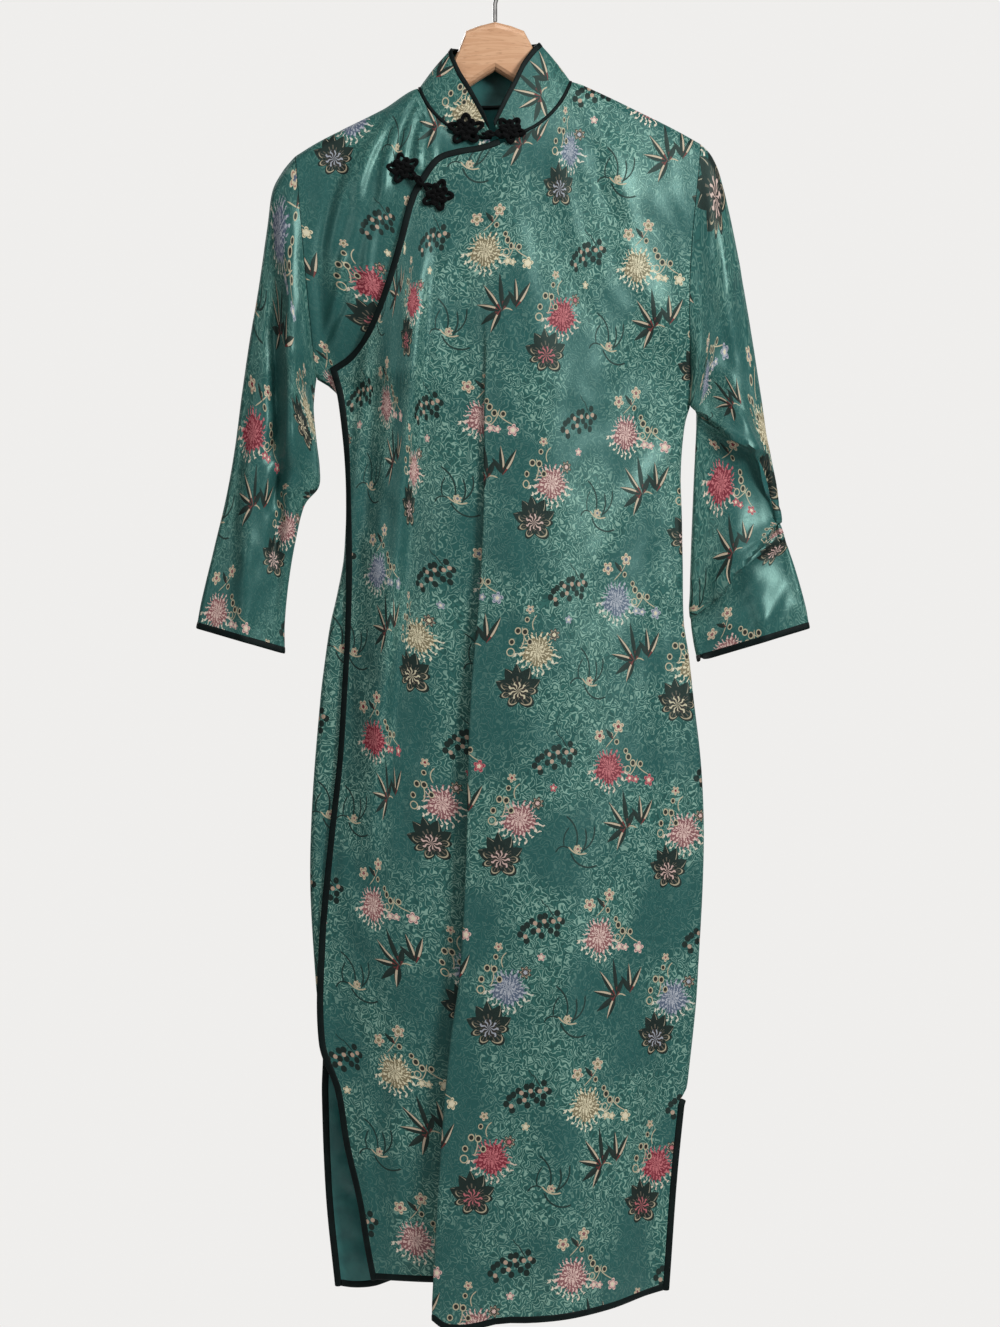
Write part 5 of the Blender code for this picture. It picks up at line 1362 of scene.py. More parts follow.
def makeFront():
    count = sum(frontCut["columns"]) * frontCut["fine"]
    topLine, pastNeck = frontTopLine(), neck["halfWidth"] + neck["past"]

    def place(i, j, x, drop):
        px, y = frontPoint(x, drop)
        if j == count and drop < body["slitRight"] or (i == 0 and x > pastNeck):
            y = min(y, -seamGap / 2)
        return vec(px, y, drop)

    grid, flat = panelGrid(count, frontCut["rows"], lambda j, drop: frontColumn(j / count, drop),
                           (lambda x: outlineDrop(topLine, x), 300), (frontBottom, 1330), place)
    uv, run = clothUv(grid, flat, int(count * frontCut["straight"]))
    grid = crease(grid, flat, run, creases["front"], -1, seed=0.4)
    seams, rows = {}, len(grid)
    sideSeam(seams, grid, flat, count, "right", True, body["slitRight"] - body["slitEase"])
    shoulderSeams(seams, grid, flat, range(count), lambda x: x > pastNeck)
    shell, normals = clothShell("front", grid, uv, -1, "front", seams=seams)
    # bound edges: the curved overlap and left edge in one strip, the hem, and the right slit
    seamEnd = max(j for j in range(count) if flat[0, j, 0] < frontCut["edgePast"])
    picks = [(0, j) for j in range(seamEnd, -1, -1)] + [(i, 0) for i in range(1, rows)]
    away = [frontCut["edgeAway"] if i == 0 else (-1, 0, 0) for i, j in picks]
    endExtra = (frontCut["edgeExtra"], binding["room"])
    strips = [bindPicks("overlapBinding", grid, normals, picks, away, endExtra=endExtra)]
    strips.append(bindHem("frontHemBinding", grid, normals))
    strips.append(bindSlit("frontSlitBinding", grid, normals, flat, count, 1, body["slitRight"]))
    return shell, strips


# binding along picked points of a panel's edge
def bindPicks(name, grid, normals, picks, away, **extra):
    rail = [grid[i, j] for i, j in picks]
    return rolledBinding(name, rail, [normals[i, j] for i, j in picks], away, **extra)


def bindHem(name, grid, normals):
    picks = [(len(grid) - 1, j) for j in range(grid.shape[1])]
    return bindPicks(name, grid, normals, picks, [(0, 0, -1)] * len(picks), trim=True)


def bindSlit(name, grid, normals, flat, j, sign, slitTop):
    picks = [(i, j) for i in range(len(grid)) if flat[i, j, 1] > slitTop + body["slitEase"]]
    return bindPicks(name, grid, normals, picks, [(sign, 0, 0)] * len(picks), endExtra=(0, binding["room"]))


# underlap: even is how evenly its columns stand, corner its drop under the arm, past how far it goes past the
# middle, sideEdge the way its lower edge faces where it is near the side, and hidden that lower edge
underlapCut = {
    "shares": 78, "rows": 84, "flat": (0.22, 0.27), "area": 0.034, "even": 0.65, "corner": 425,
    "past": 5, "neckPast": 3, "nearSide": 4, "sideEdge": (-0.6, 0, -0.8), "straight": 0.7, "hold": 12,
    "shift": (52, -18),
    "hidden": [(-179, 425), (-171, 428.5), (-163, 433.5), (-156, 443), (-142, 441), (-124, 430), (-109, 400),
               (-95, 360), (-83, 315), (-70, 275), (-57, 255), (-39, 242), (-4, 228)],
}


# the small front piece of the left shoulder, which lies under the curved edge
def makeUnderlap():
    inFront = neckOutline(-neck["halfWidth"], -neck["middle"], neck["frontSag"])
    topLine = shoulderLine(xTo=inFront[0][0] - 1) + inFront
    hidden, count = underlapCut["hidden"], underlapCut["shares"]
    grid, flat, seams = [], [], {}
    for j in range(count + 1):
        share = crossShare(j, count, underlapCut["even"])

        def column(drop):
            return (armholeX("left", drop) + seamGap) * (1 - share) - underlapCut["past"] * share

        top = settle(column, lambda x: outlineDrop(topLine, x), 200)
        bottom = settle(column, lambda x: outlineDrop(hidden, x), 300) if j else underlapCut["corner"]
        flat.append([(column(drop), drop) for drop in rowDrops(top, bottom, underlapCut["rows"])])
        grid.append([vec(x, -max(bodiceFront(x, drop), seamGap / 2), drop) for x, drop in flat[-1]])
    grid, flat = np.array(grid).transpose(1, 0, 2), np.array(flat).transpose(1, 0, 2)
    for i, drop in enumerate(flat[:, 0, 1]):
        seams[(i, 0)] = seamFace("left", drop, True)
    pastNeck = -neck["halfWidth"] - underlapCut["neckPast"]
    shoulderSeams(seams, grid, flat, range(1, count + 1), lambda x: x < pastNeck)
    for j in range(1, count + 1):
        if sideDistance(*flat[-1, j]) < underlapCut["nearSide"]:
            seams[(len(grid) - 1, j)] = unit(np.array(underlapCut["sideEdge"]))
    uv, run = clothUv(grid, flat, int(count * underlapCut["straight"]), shift=underlapCut["shift"])
    grid = crease(grid, flat, run, creases["underlap"], -1, hold=underlapCut["hold"], seed=1.1)
    return clothShell("underlap", grid, uv, -1, "underlap", seams=seams)[0]


placketCut = {
    "top": 445, "bottom": 1092, "rows": 130, "columns": 16, "flat": (0.05, 0.65), "area": 0.026,
    "under": 24, "crowding": 1.7, "shift": (52, -18),
}


# strip along the left side seam that the front's bound edge closes over
def makePlacket():
    grid, flat, seams, columns = [], [], {}, placketCut["columns"]
    for i in range(placketCut["rows"] + 1):
        drop = placketCut["top"] + (placketCut["bottom"] - placketCut["top"]) * i / placketCut["rows"]
        left, right = at(sideLeft, "x", drop), at(frontLeft, "x", drop) + placketCut["under"]
        flat.append([(left + (right - left) * (k / columns) ** placketCut["crowding"], drop)
                     for k in range(columns + 1)])
        grid.append([vec(x, -max(bodiceFront(x, drop), seamGap / 2), drop) for x, drop in flat[-1]])
    grid, flat = np.array(grid), np.array(flat)
    for i in range(len(grid)):
        seams[(i, 0)] = facing(planeNormal(grid[:, 0], i), 0, -1)
    uv, _ = clothUv(grid, flat, columns // 2, shift=placketCut["shift"])
    return clothShell("placket", grid, uv, -1, "front", seams=seams)[0]


backCut = {"columns": 120, "rows": 170, "flat": (0.42, 1.20), "area": 0.45, "even": 0.6, "shift": (30, 60)}


def backColumn(share, drop):
    ends = []
    # on the right the back's slit opens a little further in
    for side, outline, slitTop, further in (
        ("left", sideLeft, body["slitLeft"], 0), ("right", sideRight, body["slitRight"], 3),
    ):
        sign, slit = armholes[side]["outward"], slitRoom(drop, slitTop)
        below = drop >= armholes[side]["bottom"][1]
        edge = at(outline, "x", drop) if below else armholeX(side, drop) - seamGap * sign
        ends.append(edge - sign * (slit + further * slit / binding["room"]))
    return ends[0] + (ends[1] - ends[0]) * share


def makeBack():
    inBack = neckOutline(-neck["halfWidth"], neck["halfWidth"], neck["backSag"])
    topLine = shoulderLine(xTo=inBack[0][0] - 1) + inBack + shoulderLine(inBack[-1][0] + 1)
    last = backCut["columns"]
    grid, flat = panelGrid(
        last, backCut["rows"], lambda j, drop: backColumn(crossShare(j, last, backCut["even"]), drop),
        (lambda x: outlineDrop(topLine, x), 200),
        (lambda x: at(backHem, "drop", x, by="x"), 1320),
        lambda i, j, x, drop: vec(x, max(backDepth(x, drop), seamGap / 2), drop), binding["room"])
    uv, run = clothUv(grid, flat, last // 2, shift=backCut["shift"])
    grid = crease(grid, flat, run, creases["back"], 1, seed=2.2)
    seams, slits = {}, (("Left", 0, -1, body["slitLeft"]), ("Right", last, 1, body["slitRight"]))
    for side, j, _, slitTop in slits:
        sideSeam(seams, grid, flat, j, side.lower(), False, slitTop - body["slitEase"])
    shoulderSeams(seams, grid, flat, range(1, last), lambda x: abs(x) > neck["halfWidth"] + neck["past"])
    shell, normals = clothShell("back", grid, uv, 1, "back", seams=seams)
    strips = [bindSlit("backSlitBinding" + side, grid, normals, flat, j, sign, slitTop)
              for side, j, sign, slitTop in slits]
    return shell, strips + [bindHem("backHemBinding", grid, normals)]


# sleeve rings: outer and inner end, depth to the front and back, shift of the front along the sleeve, bow
sleeveCut = {
    "around": 120, "lean": 0.24, "step": 2.5, "waves": ((0.5, 26, 1.7), (0.3, 11, 4.2)),
    "left": [
        (-199, 205, -179, 426, 24, 20, 0, 0), (-211, 219, -180, 432, 24, 20, 0, 0),
        (-221, 238, -181, 440, 24, 20, 0, 0), (-227, 276, -182, 458, 23, 20, 0, 0),
        (-236, 339, -179, 490, 22, 19, 0, 0), (-245, 392, -176, 516, 21, 18, 0, 0),
        (-252, 440, -177, 535, 20, 18, 0, 0), (-259, 494, -191, 553, 19, 17, 0, 0),
        (-268, 545, -200, 588, 18, 17, 0, 0), (-281, 600, -207, 630, 17, 16, 0, 0),
        (-293, 650, -211, 672, 17, 16, 0, 0), (-298, 677, -211, 702, 18, 17, 0, 0),
    ],
    "right": [
        (205, 193, 195, 452, 24, 20, 0, 0), (216, 205, 197, 454, 24, 20, 0, 0),
        (225, 228, 198.5, 455.5, 24, 20, 0, 0), (235, 268, 200, 457, 24, 20, 0, 0),
        (245, 320, 201, 458.5, 24, 19, 0, -6), (256, 385, 201.5, 460, 24, 19, 0, -12),
        (266, 450, 202, 461.5, 25, 18, 0, -18), (273.5, 505, 202, 463, 26, 18, 0, -17),
        (278, 536, 202, 464.3, 27, 18, 0, -18), (280.5, 556, 202, 465.6, 27, 18, 0, -18),
        (281.7, 561, 202, 468, 22.5, 18, 1.5, -18), (282.7, 566, 202, 471, 17, 18, -6, -18),
        (283.7, 570, 202, 475, 12, 18, -6, -17), (284.7, 573.5, 201.5, 487, 9.5, 18, 4, -12),
        (285.5, 575, 199, 540, 14, 18, 0, 0), (286.5, 578, 196, 620, 22, 18, 0, 0),
        (287.5, 581, 195.5, 654, 26, 18, 0, 0), (288.5, 584.5, 195.7, 658, 22, 18, 1.5, 0),
        (289.5, 588, 196, 662, 17.5, 18, -7, 0), (290.5, 591.5, 196.4, 667, 12.5, 18, -7, 0),
        (293, 598, 197, 675, 10, 18, 4, 0), (301, 622, 199.5, 692, 14, 17, 0, 0),
        (310, 655, 202, 704, 17, 17, 0, 0), (314, 677, 204, 710, 18, 17, 0, 0),
    ],
    "flat": {"left": (0.30, 0.50), "right": (0.32, 0.52)}, "area": {"left": 0.072, "right": 0.081},
    "shift": {"left": (40, 30), "right": (30, 88)}, "full": 24, "spread": 60, "rollFade": 2.5,
    "fold": 6, "hold": (16, 14),
}


def sleeveRing(side, ring, part):
    outerX, outerDrop, innerX, innerDrop, frontFull, backFull, shift, bow = ring
    length = math.hypot(innerX - outerX, innerDrop - outerDrop)
    toward = ((innerX - outerX) / length, (innerDrop - outerDrop) / length)
    sign = armholes[side]["outward"]
    ahead = (toward[1] * sign, -toward[0] * sign)
    roll, rollEnd = body["shoulderRoll"], body["sideRoll"]
    roll += (rollEnd - roll) * smooth(part * sleeveCut["rollFade"])
    points = []
    for k in range(sleeveCut["around"]):
        angle = 2 * math.pi * k / sleeveCut["around"]
        # from the shoulder round the front to under the arm, and back
        share = (1 - math.cos(angle)) / 2
        front = math.sin(angle) > 1e-9
        x, drop = outerX + (innerX - outerX) * share, outerDrop + (innerDrop - outerDrop) * share
        if part == 0:
            x, drop = armhole(side, share)
            x += sign * seamGap
            depth = bodiceFront(x, drop) if front else bodiceBack(x, drop)
        else:
            full = frontFull if front else backFull
            usual, spread = sleeveCut["full"], sleeveCut["spread"]
            a = swell(share * length, roll * full / usual, full, spread)
            b = swell((1 - share) * length, body["sideRoll"] * full / usual, full, spread)
            depth = softLeast(a, b) if 0 < share < 1 else 0
            if front:
                window = max(math.sin(math.pi * share), 0)
                out, along = bow * window**2, shift * window**2
                x += ahead[0] * out + sleeveCut["lean"] * sign * along
                drop += ahead[1] * out + along
                depth += downFoldHeight(downFolds[side], x, drop) * window
        points.append(vec(x, -depth if front else depth, drop))
    return points


# rows of points between the given ones, with a soft curve through them
def curveRows(rows, steps):
    rows = np.asarray(rows)
    gaps = np.linalg.norm(np.diff(rows, axis=0), axis=-1)
    gaps = gaps.mean(axis=1) if gaps.ndim > 1 else gaps
    t = np.concatenate([[0], np.cumsum(gaps)])
    slopes = np.empty_like(rows)
    for i in range(len(rows)):
        lo, hi = max(i - 1, 0), min(i + 1, len(rows) - 1)
        slopes[i] = (rows[hi] - rows[lo]) / (t[hi] - t[lo])
    found = []
    for i in range(len(rows) - 1):
        count = steps if isinstance(steps, int) else max(2, round(gaps[i] / (steps * mm)))
        span = t[i + 1] - t[i]
        ends = (rows[i], rows[i + 1], slopes[i], slopes[i + 1])
        found += [between(k / count, span, *ends) for k in range(count)]
    return np.array(found + [rows[-1]])


def makeSleeve(side):
    rings = sleeveCut[side]
    shown = np.array([sleeveRing(side, ring, i / (len(rings) - 1)) for i, ring in enumerate(rings)])
    end = shown[-1].copy()
    shown[-1] += unit(shown[-2] - shown[-1]) * binding["room"] * mm
    grid = curveRows(shown, sleeveCut["step"])
    outward = armholes[side]["outward"]
    # pattern coordinates: round each ring from the middle of the front, and down the sleeve
    wrapped = np.concatenate([grid, grid[:, :1]], axis=1)
    reach = np.cumsum(np.linalg.norm(np.diff(wrapped, axis=1), axis=2), axis=1)
    reach = np.concatenate([np.zeros((len(grid), 1)), reach], axis=1)
    middle = sleeveCut["around"] // 4
    girth = reach[:, -1:].mean() / reach[:, -1:]
    s = (reach - reach[:, middle:middle + 1]) * girth * outward * -1
    length = runAlong(grid[:, middle])
    t = np.repeat(-length[:, None], s.shape[1], axis=1)
    shift = sleeveCut["shift"][side]
    uv = np.stack([s + shift[0] * mm, t + shift[1] * mm], axis=2)
    # light creases, held back at the armhole and the cuff
    xs, drops = grid[:, :, 0] / mm, -grid[:, :, 2] / mm
    inFront = grid[:, :, 1] < 0
    height = creaseHeight(creases[side], xs, drops) * inFront
    if side == "right":
        height += lapHeight(creases["lapsRight"], xs, drops) * inFront
    height += sum(tall * drift(xs, drops, size, seed) for tall, size, seed in sleeveCut["waves"])
    atArm, atCuff = sleeveCut["hold"]
    fade = np.clip(length / mm / atArm, 0, 1) * np.clip((length[-1] - length) / mm / atCuff, 0, 1)
    fold = np.clip(np.abs(grid[:, :, 1]) / mm / sleeveCut["fold"], 0, 1)
    grid += gridNormals(grid, True, outward) * (height * fade[:, None] * fold * mm)[:, :, None]
    seams = {}
    for k in range(sleeveCut["around"]):
        angle = 2 * math.pi * k / sleeveCut["around"]
        seams[(0, k)] = ringDirection(side, angle - 2 * math.pi if angle > math.pi else angle)
    shell, normals = clothShell(side + "Sleeve", grid, uv, outward, "sleeve", closed=True, seams=seams)
    away = unit(end - grid[-1])
    return shell, rolledBinding(side + "CuffBinding", grid[-1], normals[-1], away, closed=True)


# collar: where each rib leaves the neck seam, on the front or back, and its top
collarCut = {
    "steps": 12, "rows": 12, "piping": 2.1, "roll": 0.9, "flat": (0.37, 0.050), "area": 0.0150,
    "lapFrom": -10, "lapBlend": 20,
    "shift": (-62, -78), "ribs": [
        (-5, 1, -6.5, 177, -32), (-18, 1, -9.5, 167, -30.5), (-34, 1, -17, 152, -26), (-48, 1, -25, 137, -21),
        (-60, 1, -34, 122, -16), (-69, 1, -40.5, 107, -11), (-74.6, 1, -43, 98, -5), (-74.6, 0, -41, 96, 5),
        (-67, 0, -34, 95, 12), (-40, 0, -20, 93.5, 17), (0, 0, 0, 93, 19), (42, 0, 20, 91.5, 17),
        (67, 0, 35, 90.5, 12), (74.6, 0, 42, 91, 5), (74.6, 1, 43, 92, -5), (69, 1, 37, 99, -11),
        (60, 1, 27, 113, -16), (47, 1, 18.5, 131, -21), (33, 1, 11, 146, -26), (18, 1, 4, 161, -30.5),
        (5, 1, -1.5, 174, -32.5),
    ],
}


def collarBase(x, front):
    drop = neckDrop(x, neck["frontSag"] if front else neck["backSag"])
    if not front:
        return vec(x, bodiceBack(x, drop), drop)
    lift = body["lapLift"] * lapLift(x) * smooth((x - collarCut["lapFrom"]) / collarCut["lapBlend"])
    return vec(x, -bodiceFront(x, drop) - lift, drop)


# smooth line through points, with even steps in each stretch
def curveThrough(points, steps):
    points, line = [np.asarray(p) for p in points], []
    for i in range(len(points) - 1):
        a, b, c, d = (points[min(max(i + k, 0), len(points) - 1)] for k in (-1, 0, 1, 2))
        for k in range(steps):
            u = k / steps
            square, cube = 2 * a - 5 * b + 4 * c - d, 3 * b - 3 * c + d - a
            line.append(0.5 * (2 * b + (c - a) * u + square * u * u + cube * u**3))
    return np.array(line + [points[-1]])


def makeCollar():
    ribs, steps = collarCut["ribs"], collarCut["steps"]
    base = curveThrough([collarBase(x, front) for x, front, *_ in ribs], steps)
    top = curveThrough([vec(x, y, drop) for _, _, x, drop, y in ribs], steps)
    along = unit(np.gradient(base, axis=0))
    across = unit(np.cross(along, (0.0, 0.0, 1.0)))
    up = unit(np.cross(along, across))
    size = collarCut["piping"] * mm
    piping = oval("neckPiping", base, across * size, up * size, looks["binding"], sides=12, round=1)
    rise = unit(top - base)
    low, high = base + rise * neck["room"] * mm, top - rise * binding["room"] * binding["collarShare"] * mm
    rows = collarCut["rows"]
    grid = np.array([low + (high - low) * k / rows for k in range(rows + 1)])
    # a slight roll across the band
    bulge = np.sin(np.linspace(0, math.pi, rows + 1))[:, None, None] * collarCut["roll"] * mm
    grid -= gridNormals(grid, False, 1) * bulge
    run = runAlong(grid[rows // 2])
    height = np.linalg.norm(grid - grid[:1], axis=2)
    shift = collarCut["shift"]
    uv = np.stack([shift[0] * mm - run[None] + 0 * height, height + shift[1] * mm], axis=2)
    band, normals = clothShell("collarBand", grid, uv, -1, "collar")
    foot = top - rise * (binding["room"] * binding["collarShare"] + binding["over"]) * mm
    return band, foldedStrip("collarBinding", foot, top, normals[-1]), piping


# frogs: corded flowers on the plane of their CAD solids, and drawn-out ball knots between them
def pointsOf(node):
    return np.array([v.co[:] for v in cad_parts[node].data.vertices])


# the plane a flower lies on: its foot, its directions, half sizes and height
def planeOf(node):
    points = pointsOf(node)
    middle = points.mean(axis=0)
    _, _, axes = np.linalg.svd(points - middle, full_matrices=False)
    front = axes[2] if axes[2][1] < 0 else -axes[2]
    depth = (points - middle) @ front
    across = unit(np.cross(front, (0.0, 0.0, 1.0)))
    up = unit(np.cross(across, front))
    spread = [np.abs((points - middle) @ axis).max() for axis in (across, up)]
    return middle + front * depth.min(), front, across, up, spread, depth.max() - depth.min()


# round places: how many petals, radius of the cord, steps along it, and how far past the solid it spreads
frog = {
    "petals": 5, "cord": 2.0, "turns": 150, "spread": 1.18,
    # two rounds of petals: size, lift in cord radii, turn, depth of the lobes
    "rounds": ((1.0, 1.0, 0, 0.33), (0.66, 1.9, 0.5, 0.28)), "ripple": 0.35,
    "coil": 0.3, "coilCord": 0.9, "coilLift": 1.5, "ball": 0.24, "ballLift": 0.62, "ballHigh": 0.42,
    "coilTurns": 60, "sides": 10, "ballSides": 20, "ballRings": 12,
    "placed": [
        ("collarFlowerLeft", "frog_collar_flower_left", 0.3),
        ("collarFlowerRight", "frog_collar_flower_right", 0.9),
        ("chestFlowerUpper", "frog_chest_flower_upper", 0.1),
        ("chestFlowerLower", "frog_chest_flower_lower", 0.7),
    ],
}


# round cord along a line, its section turned from the side that faces forward
def cordAt(name, line, radius, closed, sides, front):
    line = np.asarray(line)
    if closed:
        along = unit(np.roll(line, -1, axis=0) - np.roll(line, 1, axis=0))
    else:
        along = unit(np.gradient(line, axis=0))
    across = unit(np.cross(along, np.broadcast_to(front, along.shape)))
    up = np.cross(along, across)
    return oval(name, line, across * radius, up * radius, looks["velvet"], closed, sides, 1)


# a ball drawn out along three directions
def ballAt(centre, front, across, up, radii):
    bpy.ops.object.select_all(action="DESELECT")
    bpy.ops.mesh.primitive_uv_sphere_add(segments=frog["ballSides"], ring_count=frog["ballRings"], radius=1)
    ball = bpy.context.object
    turns = np.stack([across * radii[0], up * radii[1], front * radii[2]])
    for vertex in ball.data.vertices:
        vertex.co = Vector(centre + np.array(vertex.co[:]) @ turns)
    bpy.ops.object.mode_set(mode="EDIT")
    bpy.ops.mesh.select_all(action="SELECT")
    bpy.ops.mesh.normals_make_consistent(inside=False)
    bpy.ops.object.mode_set(mode="OBJECT")
    bpy.ops.object.shade_smooth()
    ball.data.materials.append(looks["velvet"])
    for layer in list(ball.data.uv_layers):
        ball.data.uv_layers.remove(layer)
    ball.data.uv_layers.new(name="cloth")
    return ball


def joined(name, parts):
    bpy.ops.object.select_all(action="DESELECT")
    for part in parts:
        part.select_set(True)
    bpy.context.view_layer.objects.active = parts[0]
    bpy.ops.object.join()
    whole = bpy.context.object
    whole.name = name
    return whole


# a closed round of points on a plane
def roundOf(count, pointAt):
    return [pointAt(2 * math.pi * k / count) for k in range(count)]


def makeFlower(name, node, turn):
    foot, front, across, up, spread, height = planeOf(node)
    parts, size = [], frog["cord"] * mm
    for k, (reach, lift, phase, depth) in enumerate(frog["rounds"]):
        def petal(a):
            lobe = 1 - depth + depth * math.cos(frog["petals"] * a + phase * 2 * math.pi)
            x, y = [(wide * frog["spread"] - size) * reach * lobe for wide in spread]
            ripple = frog["ripple"] * size * math.cos(2 * frog["petals"] * a)
            spot = foot + across * x * math.cos(a + turn) + up * y * math.sin(a + turn)
            return spot + front * (size * lift + ripple)

        line = roundOf(frog["turns"], petal)
        parts.append(cordAt(name + "Cord" + str(k), line, size, True, frog["sides"], front))
    wide, high = (half * frog["coil"] for half in spread)
    inner = roundOf(frog["coilTurns"], lambda a: foot + across * wide * math.cos(a) + up * high * math.sin(a)
                    + front * size * frog["coilLift"])
    parts.append(cordAt(name + "Coil", inner, size * frog["coilCord"], True, frog["sides"], front))
    parts.append(ballAt(foot + front * height * frog["ballLift"], front, across, up,
                        (spread[0] * frog["ball"], spread[1] * frog["ball"], height * frog["ballHigh"])))
    return joined(name, parts)


knot = {
    "thick": 4.2, "wrap": 1.35, "loop": 1.5, "steps": 220, "wrapReach": 0.62, "wrapDeep": 0.42,
    "waist": 0.28, "sides": 8, "ball": (0.6, 0.6, 0.5),
    "loopFrom": 0.35, "loopLong": 0.6, "loopDeep": 0.45, "loopSteps": 8,
    "placed": [("collarKnot", "frog_collar_knot"), ("chestKnot", "frog_chest_knot")],
}


def makeKnot(name, node):
    points = pointsOf(node)
    middle = (points.min(axis=0) + points.max(axis=0)) / 2
    _, _, axes = np.linalg.svd(points - points.mean(axis=0), full_matrices=False)
    along = axes[0]
    front = unit(np.array((0.0, -1.0, 0.0)) + along * along[1])
    side = np.cross(along, front)
    reach, thick = np.abs((points - middle) @ along).max(), knot["thick"] * mm

    # the cord winds three times round the ball while it goes twice along it
    def wound(t):
        ring = knot["wrapReach"] * (1 - knot["waist"] + knot["waist"] * math.cos(3 * t))
        return (middle + along * reach * ring * math.cos(2 * t) + side * thick * ring * math.sin(2 * t)
                + front * thick * knot["wrapDeep"] * math.sin(3 * t))

    line = roundOf(knot["steps"], wound)
    parts = [cordAt(name + "Wrap", line, knot["wrap"] * mm, True, knot["sides"], front)]
    long, wide, deep = knot["ball"]
    parts.append(ballAt(middle, front, along, side, (reach * long, thick * wide, thick * deep)))
    for sign in (-1, 1):
        shares = [k / knot["loopSteps"] for k in range(knot["loopSteps"] + 1)]
        loop = [middle + along * sign * reach * (knot["loopFrom"] + knot["loopLong"] * share)
                - front * thick * knot["loopDeep"] * share for share in shares]
        parts.append(cordAt(name + "Loop", loop, knot["loop"] * mm, False, knot["sides"], front))
    return joined(name, parts)


# a piece rides on the body, and takes the place of its CAD node
def ridden(piece, node):
    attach(piece, "root")
    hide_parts(node)


def sheetOf(piece, extra=()):
    list(extra)


# area of one layer of a cloth in square metres
def layerArea(shell, digits=3):
    return round(sum(p.area for p in shell.data.polygons) / 2, digits)


front, frontStrips = makeFront()
print("front made", layerArea(front))
underlap, placket = makeUnderlap(), makePlacket()
back, backStrips = makeBack()
print("back, underlap and placket made", layerArea(back), layerArea(underlap), layerArea(placket))
leftSleeve, leftCuff = makeSleeve("left")
rightSleeve, rightCuff = makeSleeve("right")
print("sleeves made", layerArea(leftSleeve), layerArea(rightSleeve))
collarBand, collarEdge, piping = makeCollar()
print("collar made", layerArea(collarBand, 4))

for piece, node in (
    (front, "front_panel"), (underlap, "underlap_front"), (placket, "side_placket"), (back, "back_panel"),
    (leftSleeve, "sleeve_left"), (rightSleeve, "sleeve_right"), (collarBand, "collar_band"),
):
    ridden(piece, node)
stripNodes = (
    "front_overlap_binding", "front_hem_binding", "front_slit_binding", "back_slit_binding_left",
    "back_slit_binding_right", "back_hem_binding", "cuff_binding_left", "cuff_binding_right",
    "collar_binding", "neck_seam_piping",
)
for strip, node in zip([*frontStrips, *backStrips, leftCuff, rightCuff, collarEdge, piping], stripNodes):
    ridden(strip, node)
sheetOf(front, frontStrips)
sheetOf(underlap)
sheetOf(placket)
sheetOf(back, backStrips)
sheetOf(leftSleeve, [leftCuff])
sheetOf(rightSleeve, [rightCuff])
sheetOf(collarBand, [collarEdge, piping])

for name, node, turn in frog["placed"]:
    ridden(makeFlower(name, node, turn), node)
for name, node in knot["placed"]:
    ridden(makeKnot(name, node), node)
print("frogs made")

for node, look in (("hanger_body", "wood"), ("hanger_hook", "steel")):
    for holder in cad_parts[node].material_slots:
        holder.material = looks[look]

stage = {"floorDrop": 1.62, "radius": 1.15, "pale": (0.80, 0.79, 0.775), "dimmer": 0.97, "rough": 0.8,
         "room": (0.93, 0.92, 0.905, 1), "sides": 96, "patches": 3.0}


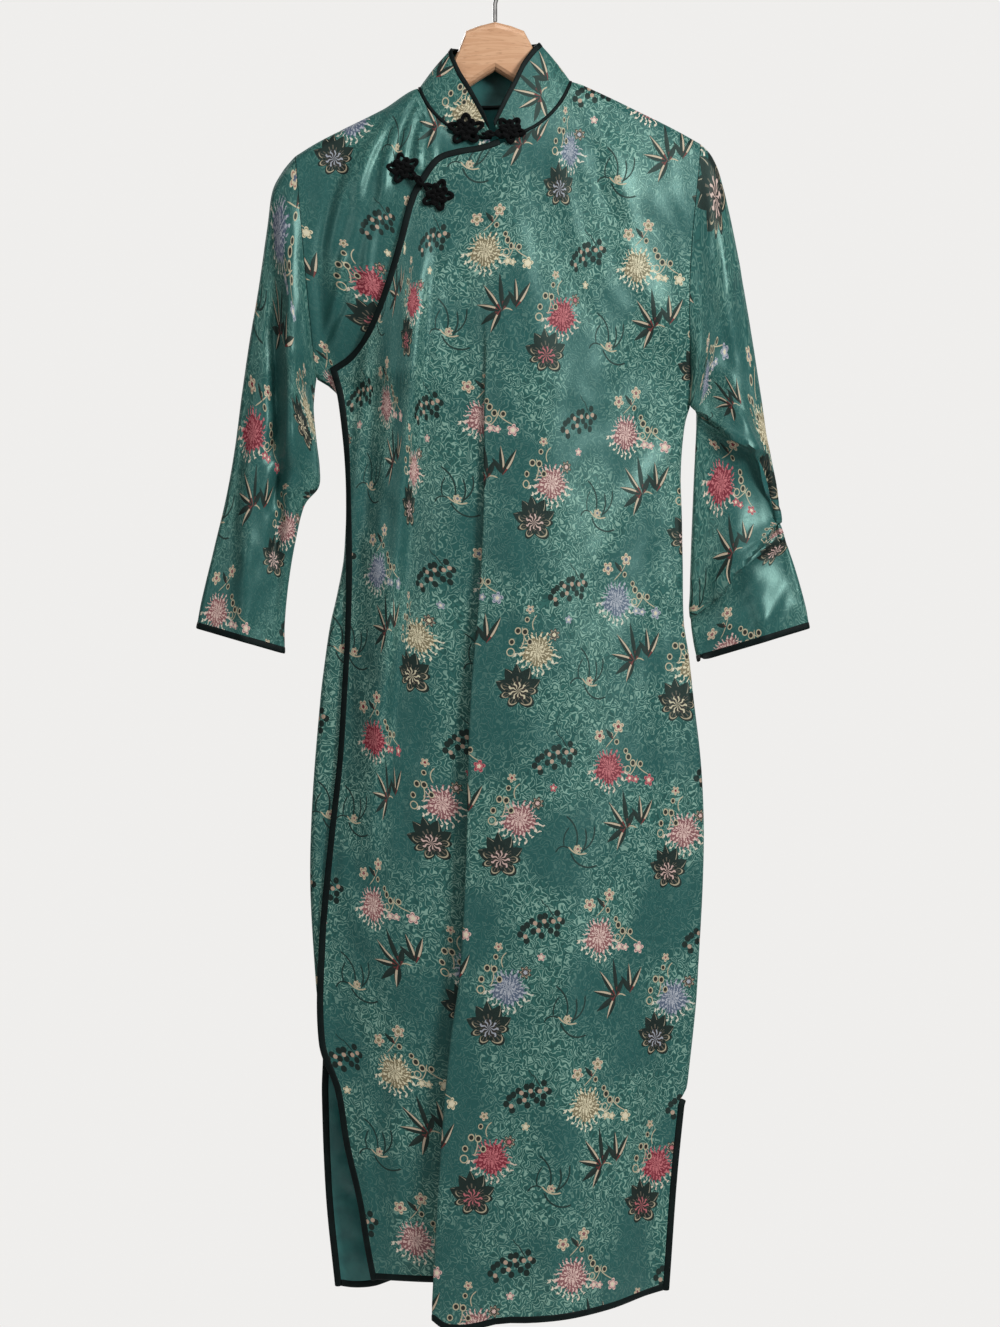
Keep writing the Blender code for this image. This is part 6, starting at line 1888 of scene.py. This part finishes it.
def makeStage():
    bpy.ops.object.select_all(action="DESELECT")
    bpy.ops.mesh.primitive_circle_add(vertices=stage["sides"], radius=stage["radius"], fill_type="NGON",
                                      location=(0, 0, -stage["floorDrop"]))
    floor = bpy.context.object
    floor.name = "floor"
    look, tree, shader = newLook("floorPaint")
    pale = (*stage["pale"], 1)
    dimmer = (*(c * stage["dimmer"] for c in stage["pale"]), 1)
    colour = blendColour(tree, noise(tree, objectPlace(tree), stage["patches"]), pale, dimmer)
    setInputs(tree, shader, {"Base Color": colour, "Roughness": stage["rough"]})
    floor.data.materials.append(look)
    world = bpy.data.worlds.new("studio")
    bpy.context.scene.world = world
    world.use_nodes = True
    room = world.node_tree
    eye = room.nodes.new("ShaderNodeLightPath").outputs["Is Camera Ray"]
    strength = timesPlus(room, eye, lights["seen"] - lights["fill"], lights["fill"])
    setInputs(room, room.nodes["Background"], {"Color": stage["room"], "Strength": strength})
    bpy.context.scene.view_settings.view_transform = "Standard"


lights = {
    # how bright the pale room looks, and how much of it lights the cloth
    "seen": 0.93, "fill": 0.15,
    # soft lamps: place, size, strength
    "lamps": [
        ((1.75, -2.2, 0.6), 0.75, 61), ((-1.9, -2.3, 0.2), 1.2, 9), ((0.2, -1.3, 1.5), 0.7, 13),
        ((-1.3, 2.6, 0.6), 2.0, 60), ((1.9, 2.4, 0.3), 1.6, 14),
    ],
    "aim": (0.0, 0.0, -0.65),
}


def makeLights():
    for k, (place, size, strength) in enumerate(lights["lamps"]):
        lamp = bpy.data.lights.new("lamp" + str(k), "AREA")
        lamp.size, lamp.energy = size, strength
        holder = addObject("lamp" + str(k), lamp)
        holder.location = place
        holder.visible_camera = False
        holder.rotation_euler = (Vector(lights["aim"]) - Vector(place)).to_track_quat("-Z", "Y").to_euler()


# camera: place, distance, height of what it sees there, size of its sensor, nearest and farthest it sees
view = {"x": 0.005, "z": -0.7115, "distance": 3.4, "height": 1.327, "sensor": 36, "clip": (0.05, 60)}


def makeCamera():
    lens = bpy.data.cameras.new("camera")
    lens.sensor_fit, lens.sensor_height, lens.sensor_width = "VERTICAL", view["sensor"], view["sensor"]
    lens.lens = view["distance"] * view["sensor"] / view["height"]
    lens.clip_start, lens.clip_end = view["clip"]
    camera = addObject("camera", lens)
    camera.location = (view["x"], -view["distance"], view["z"])
    camera.rotation_euler = (math.radians(90), 0, 0)
    bpy.context.scene.camera = camera


makeStage()
makeLights()
makeCamera()
print("stage, lights and camera made")
